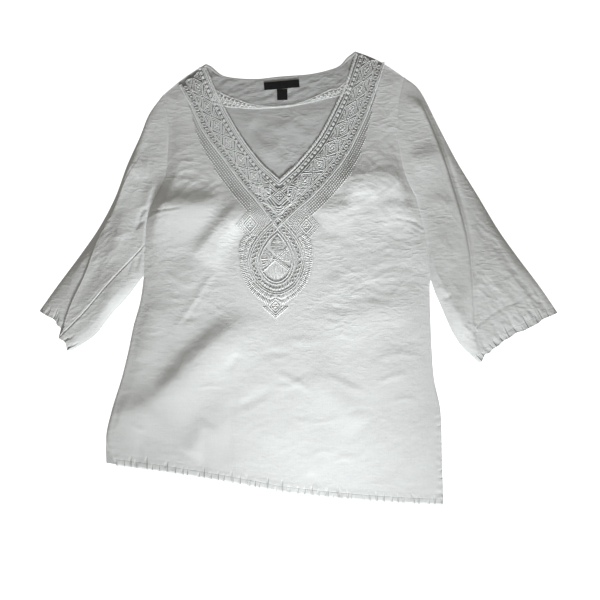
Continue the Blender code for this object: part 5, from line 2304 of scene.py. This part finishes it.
def painted_stitch_shade(places: Array) -> Array:
    """How much painted shade each place of the front takes, for the shadow between stitches, from 0 to 1.

    Args:
        places: Places in the pattern's frame.

    Returns:
        A share for each place.
    """

    def share(outline: Sequence, fade: float) -> Array:
        """How far inside an outline each place is, from 0 outside to 1."""

        return ease((depth_in(places, np.vstack(outline)) + fade) / fade)

    at = np.linspace(0, 6, 60)
    parts = []
    for side in SIDES:
        neck, outer = NeckEmbroidery.edges(side, at)
        reach = 1.0 + 21.0 * ease((at - 0.6) / 3.0) * ease((5.6 - at) / 0.8)
        combed = beside(outer, reach * SIDES[side])
        parts += [share([neck, outer[::-1]], 2.0), 0.5 * share([outer, combed[::-1]], 4.0)]
    for x, y in SIDE_DIAMONDS:
        parts.append(0.25 * share([(x - 24, y), (x, y + 26), (x + 24, y), (x, y - 26)], 5.0))
    loop, comb, drop = (
        smooth_line(line, 6)
        for line in (MedallionEmbroidery.loop, MedallionEmbroidery.comb, MedallionEmbroidery.drop)
    )
    parts += [0.36 * share([loop], 2.0), 0.22 * share([(-35, 106), comb], 4.0)]
    return np.max(parts, axis=0) - 0.18 * share([drop], 2.0)


# Studio


@dataclass
class Studio:
    """The camera above the table, the pale floor and soft light from the hem's side."""

    eye: Triple = (0.0025, 0.0621, 1.0965)
    tilt: float = 0.07995
    lens: float = 39.1
    floor_size: float = 60.0
    floor_drop: float = 0.0004
    lamp_tint: Triple = (0.945, 1.0, 1.02)
    room_tint: Colour = (1.0, 0.985, 0.915, 1.0)
    room_strength: float = 0.26

    def build(self) -> None:
        """Adds them all."""
        self.add_camera()
        self.add_floor()
        self.add_light("window", (0.5, -2.56, 0.87), (0.0, -0.05, 0.0), 0.55, 90.0)
        self.add_light("lamp", (0.2, -2.46, 1.09), (0.014, -0.12, 0.0), 0.12, 196.0, spread=10.2)
        world = bpy.data.worlds.new("room")
        bpy.context.scene.world = world
        bpy.context.scene.view_settings.view_transform = "Standard"
        world.use_nodes = True
        back = world.node_tree.nodes["Background"]
        back.inputs["Color"].default_value = self.room_tint
        back.inputs["Strength"].default_value = self.room_strength

    def add_camera(self) -> None:
        """The camera: above the middle, tilted a little towards the hem."""
        data = bpy.data.cameras.new("camera")
        data.sensor_width, data.lens, data.clip_start = 36.0, self.lens, 0.01
        made = bpy.data.objects.new("camera", data)
        upright = math.sqrt(1 - self.tilt**2)
        rows = ((1, 0, 0), (0, upright, self.tilt), (0, -self.tilt, upright))
        made.matrix_world = Matrix([(*row, at) for row, at in zip(rows, self.eye)] + [(0, 0, 0, 1)])
        bpy.context.scene.collection.objects.link(made)
        bpy.context.scene.camera = made

    def add_floor(self) -> None:
        """The plain white table that the garment lies on."""
        bpy.ops.object.select_all(action="DESELECT")
        bpy.ops.mesh.primitive_plane_add(size=self.floor_size, location=(0, 0, -self.floor_drop))
        floor = bpy.context.object
        floor.name = "floor"
        g = NodeGraph("table")
        g.feed(g.shader, {"Base Color": grey(0.9), "Roughness": 0.9})
        g.feed(g.shader, {"Emission Color": grey(1.0), "Emission Strength": 1.0})
        floor.data.materials.append(g.material)
        floor.visible_diffuse = floor.visible_glossy = False

    def add_light(
        self, name: str, place: Triple, target: Triple, size: float, power: float, spread: float = 0.0
    ) -> None:
        """A soft square light, or a lamp with a soft-edged cone.

        Args:
            name: Its name.
            place: Where it stands.
            target: What it faces.
            size: Its side, or the lamp's radius.
            power: Its power in watts.
            spread: The lamp's cone in degrees, or nought for a square light.
        """
        data = bpy.data.lights.new(name, "SPOT" if spread else "AREA")
        data.energy, data.color = power, self.lamp_tint
        if spread:
            data.shadow_soft_size, data.spot_size, data.spot_blend = size, math.radians(spread), 0.5
        else:
            data.size = size
        made = bpy.data.objects.new(name, data)
        made.location = place
        made.rotation_mode = "QUATERNION"
        made.rotation_quaternion = (Vector(place) - Vector(target)).to_track_quat("Z", "Y")
        bpy.context.scene.collection.objects.link(made)


def main() -> None:
    """Builds the garment's pieces in order and sets the studio."""
    logging.basicConfig(level=logging.INFO, format="%(name)s %(message)s")
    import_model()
    pattern = BodyPattern()
    relief = FrontRelief(pattern)
    trim = NeckTrim()
    left = Sleeve(
        pattern, "left", LEFT_SLEEVE, LEFT_SLEEVE_CREASES, LEFT_UNDERARM, LEFT_CUFF,
        seed=41, outer_slope=24.0, step_width=2.6, rumple=0.34, pucker=1.2,
    )  # fmt: skip
    right = Sleeve(
        pattern, "right", RIGHT_SLEEVE, RIGHT_SLEEVE_CREASES, RIGHT_UNDERARM, RIGHT_CUFF,
        seed=43, outer_slope=34.0, step_width=17.0,
    )  # fmt: skip
    pieces = {
        "back": BackPanel(pattern).build(),
        "facing": trim.build_facing(),
        "strip": trim.build_strip(),
        "front": FrontPanel(pattern, relief).build(),
        "left": left.build(),
        "right": right.build(),
        "band": NeckEmbroidery(relief).build(),
        "medallion": MedallionEmbroidery(relief).build(),
        "label": Tape("label_tape", "neck_label", (-27.5, 332.5), (58.0, 12.4), 4.9).build(),
        "tab": Tape("size_tape", "size_tab", (-26.6, 316.8), (17.0, 17.5), 1.0).build(),
    }
    Studio().build()


if __name__ == "__main__":
    main()
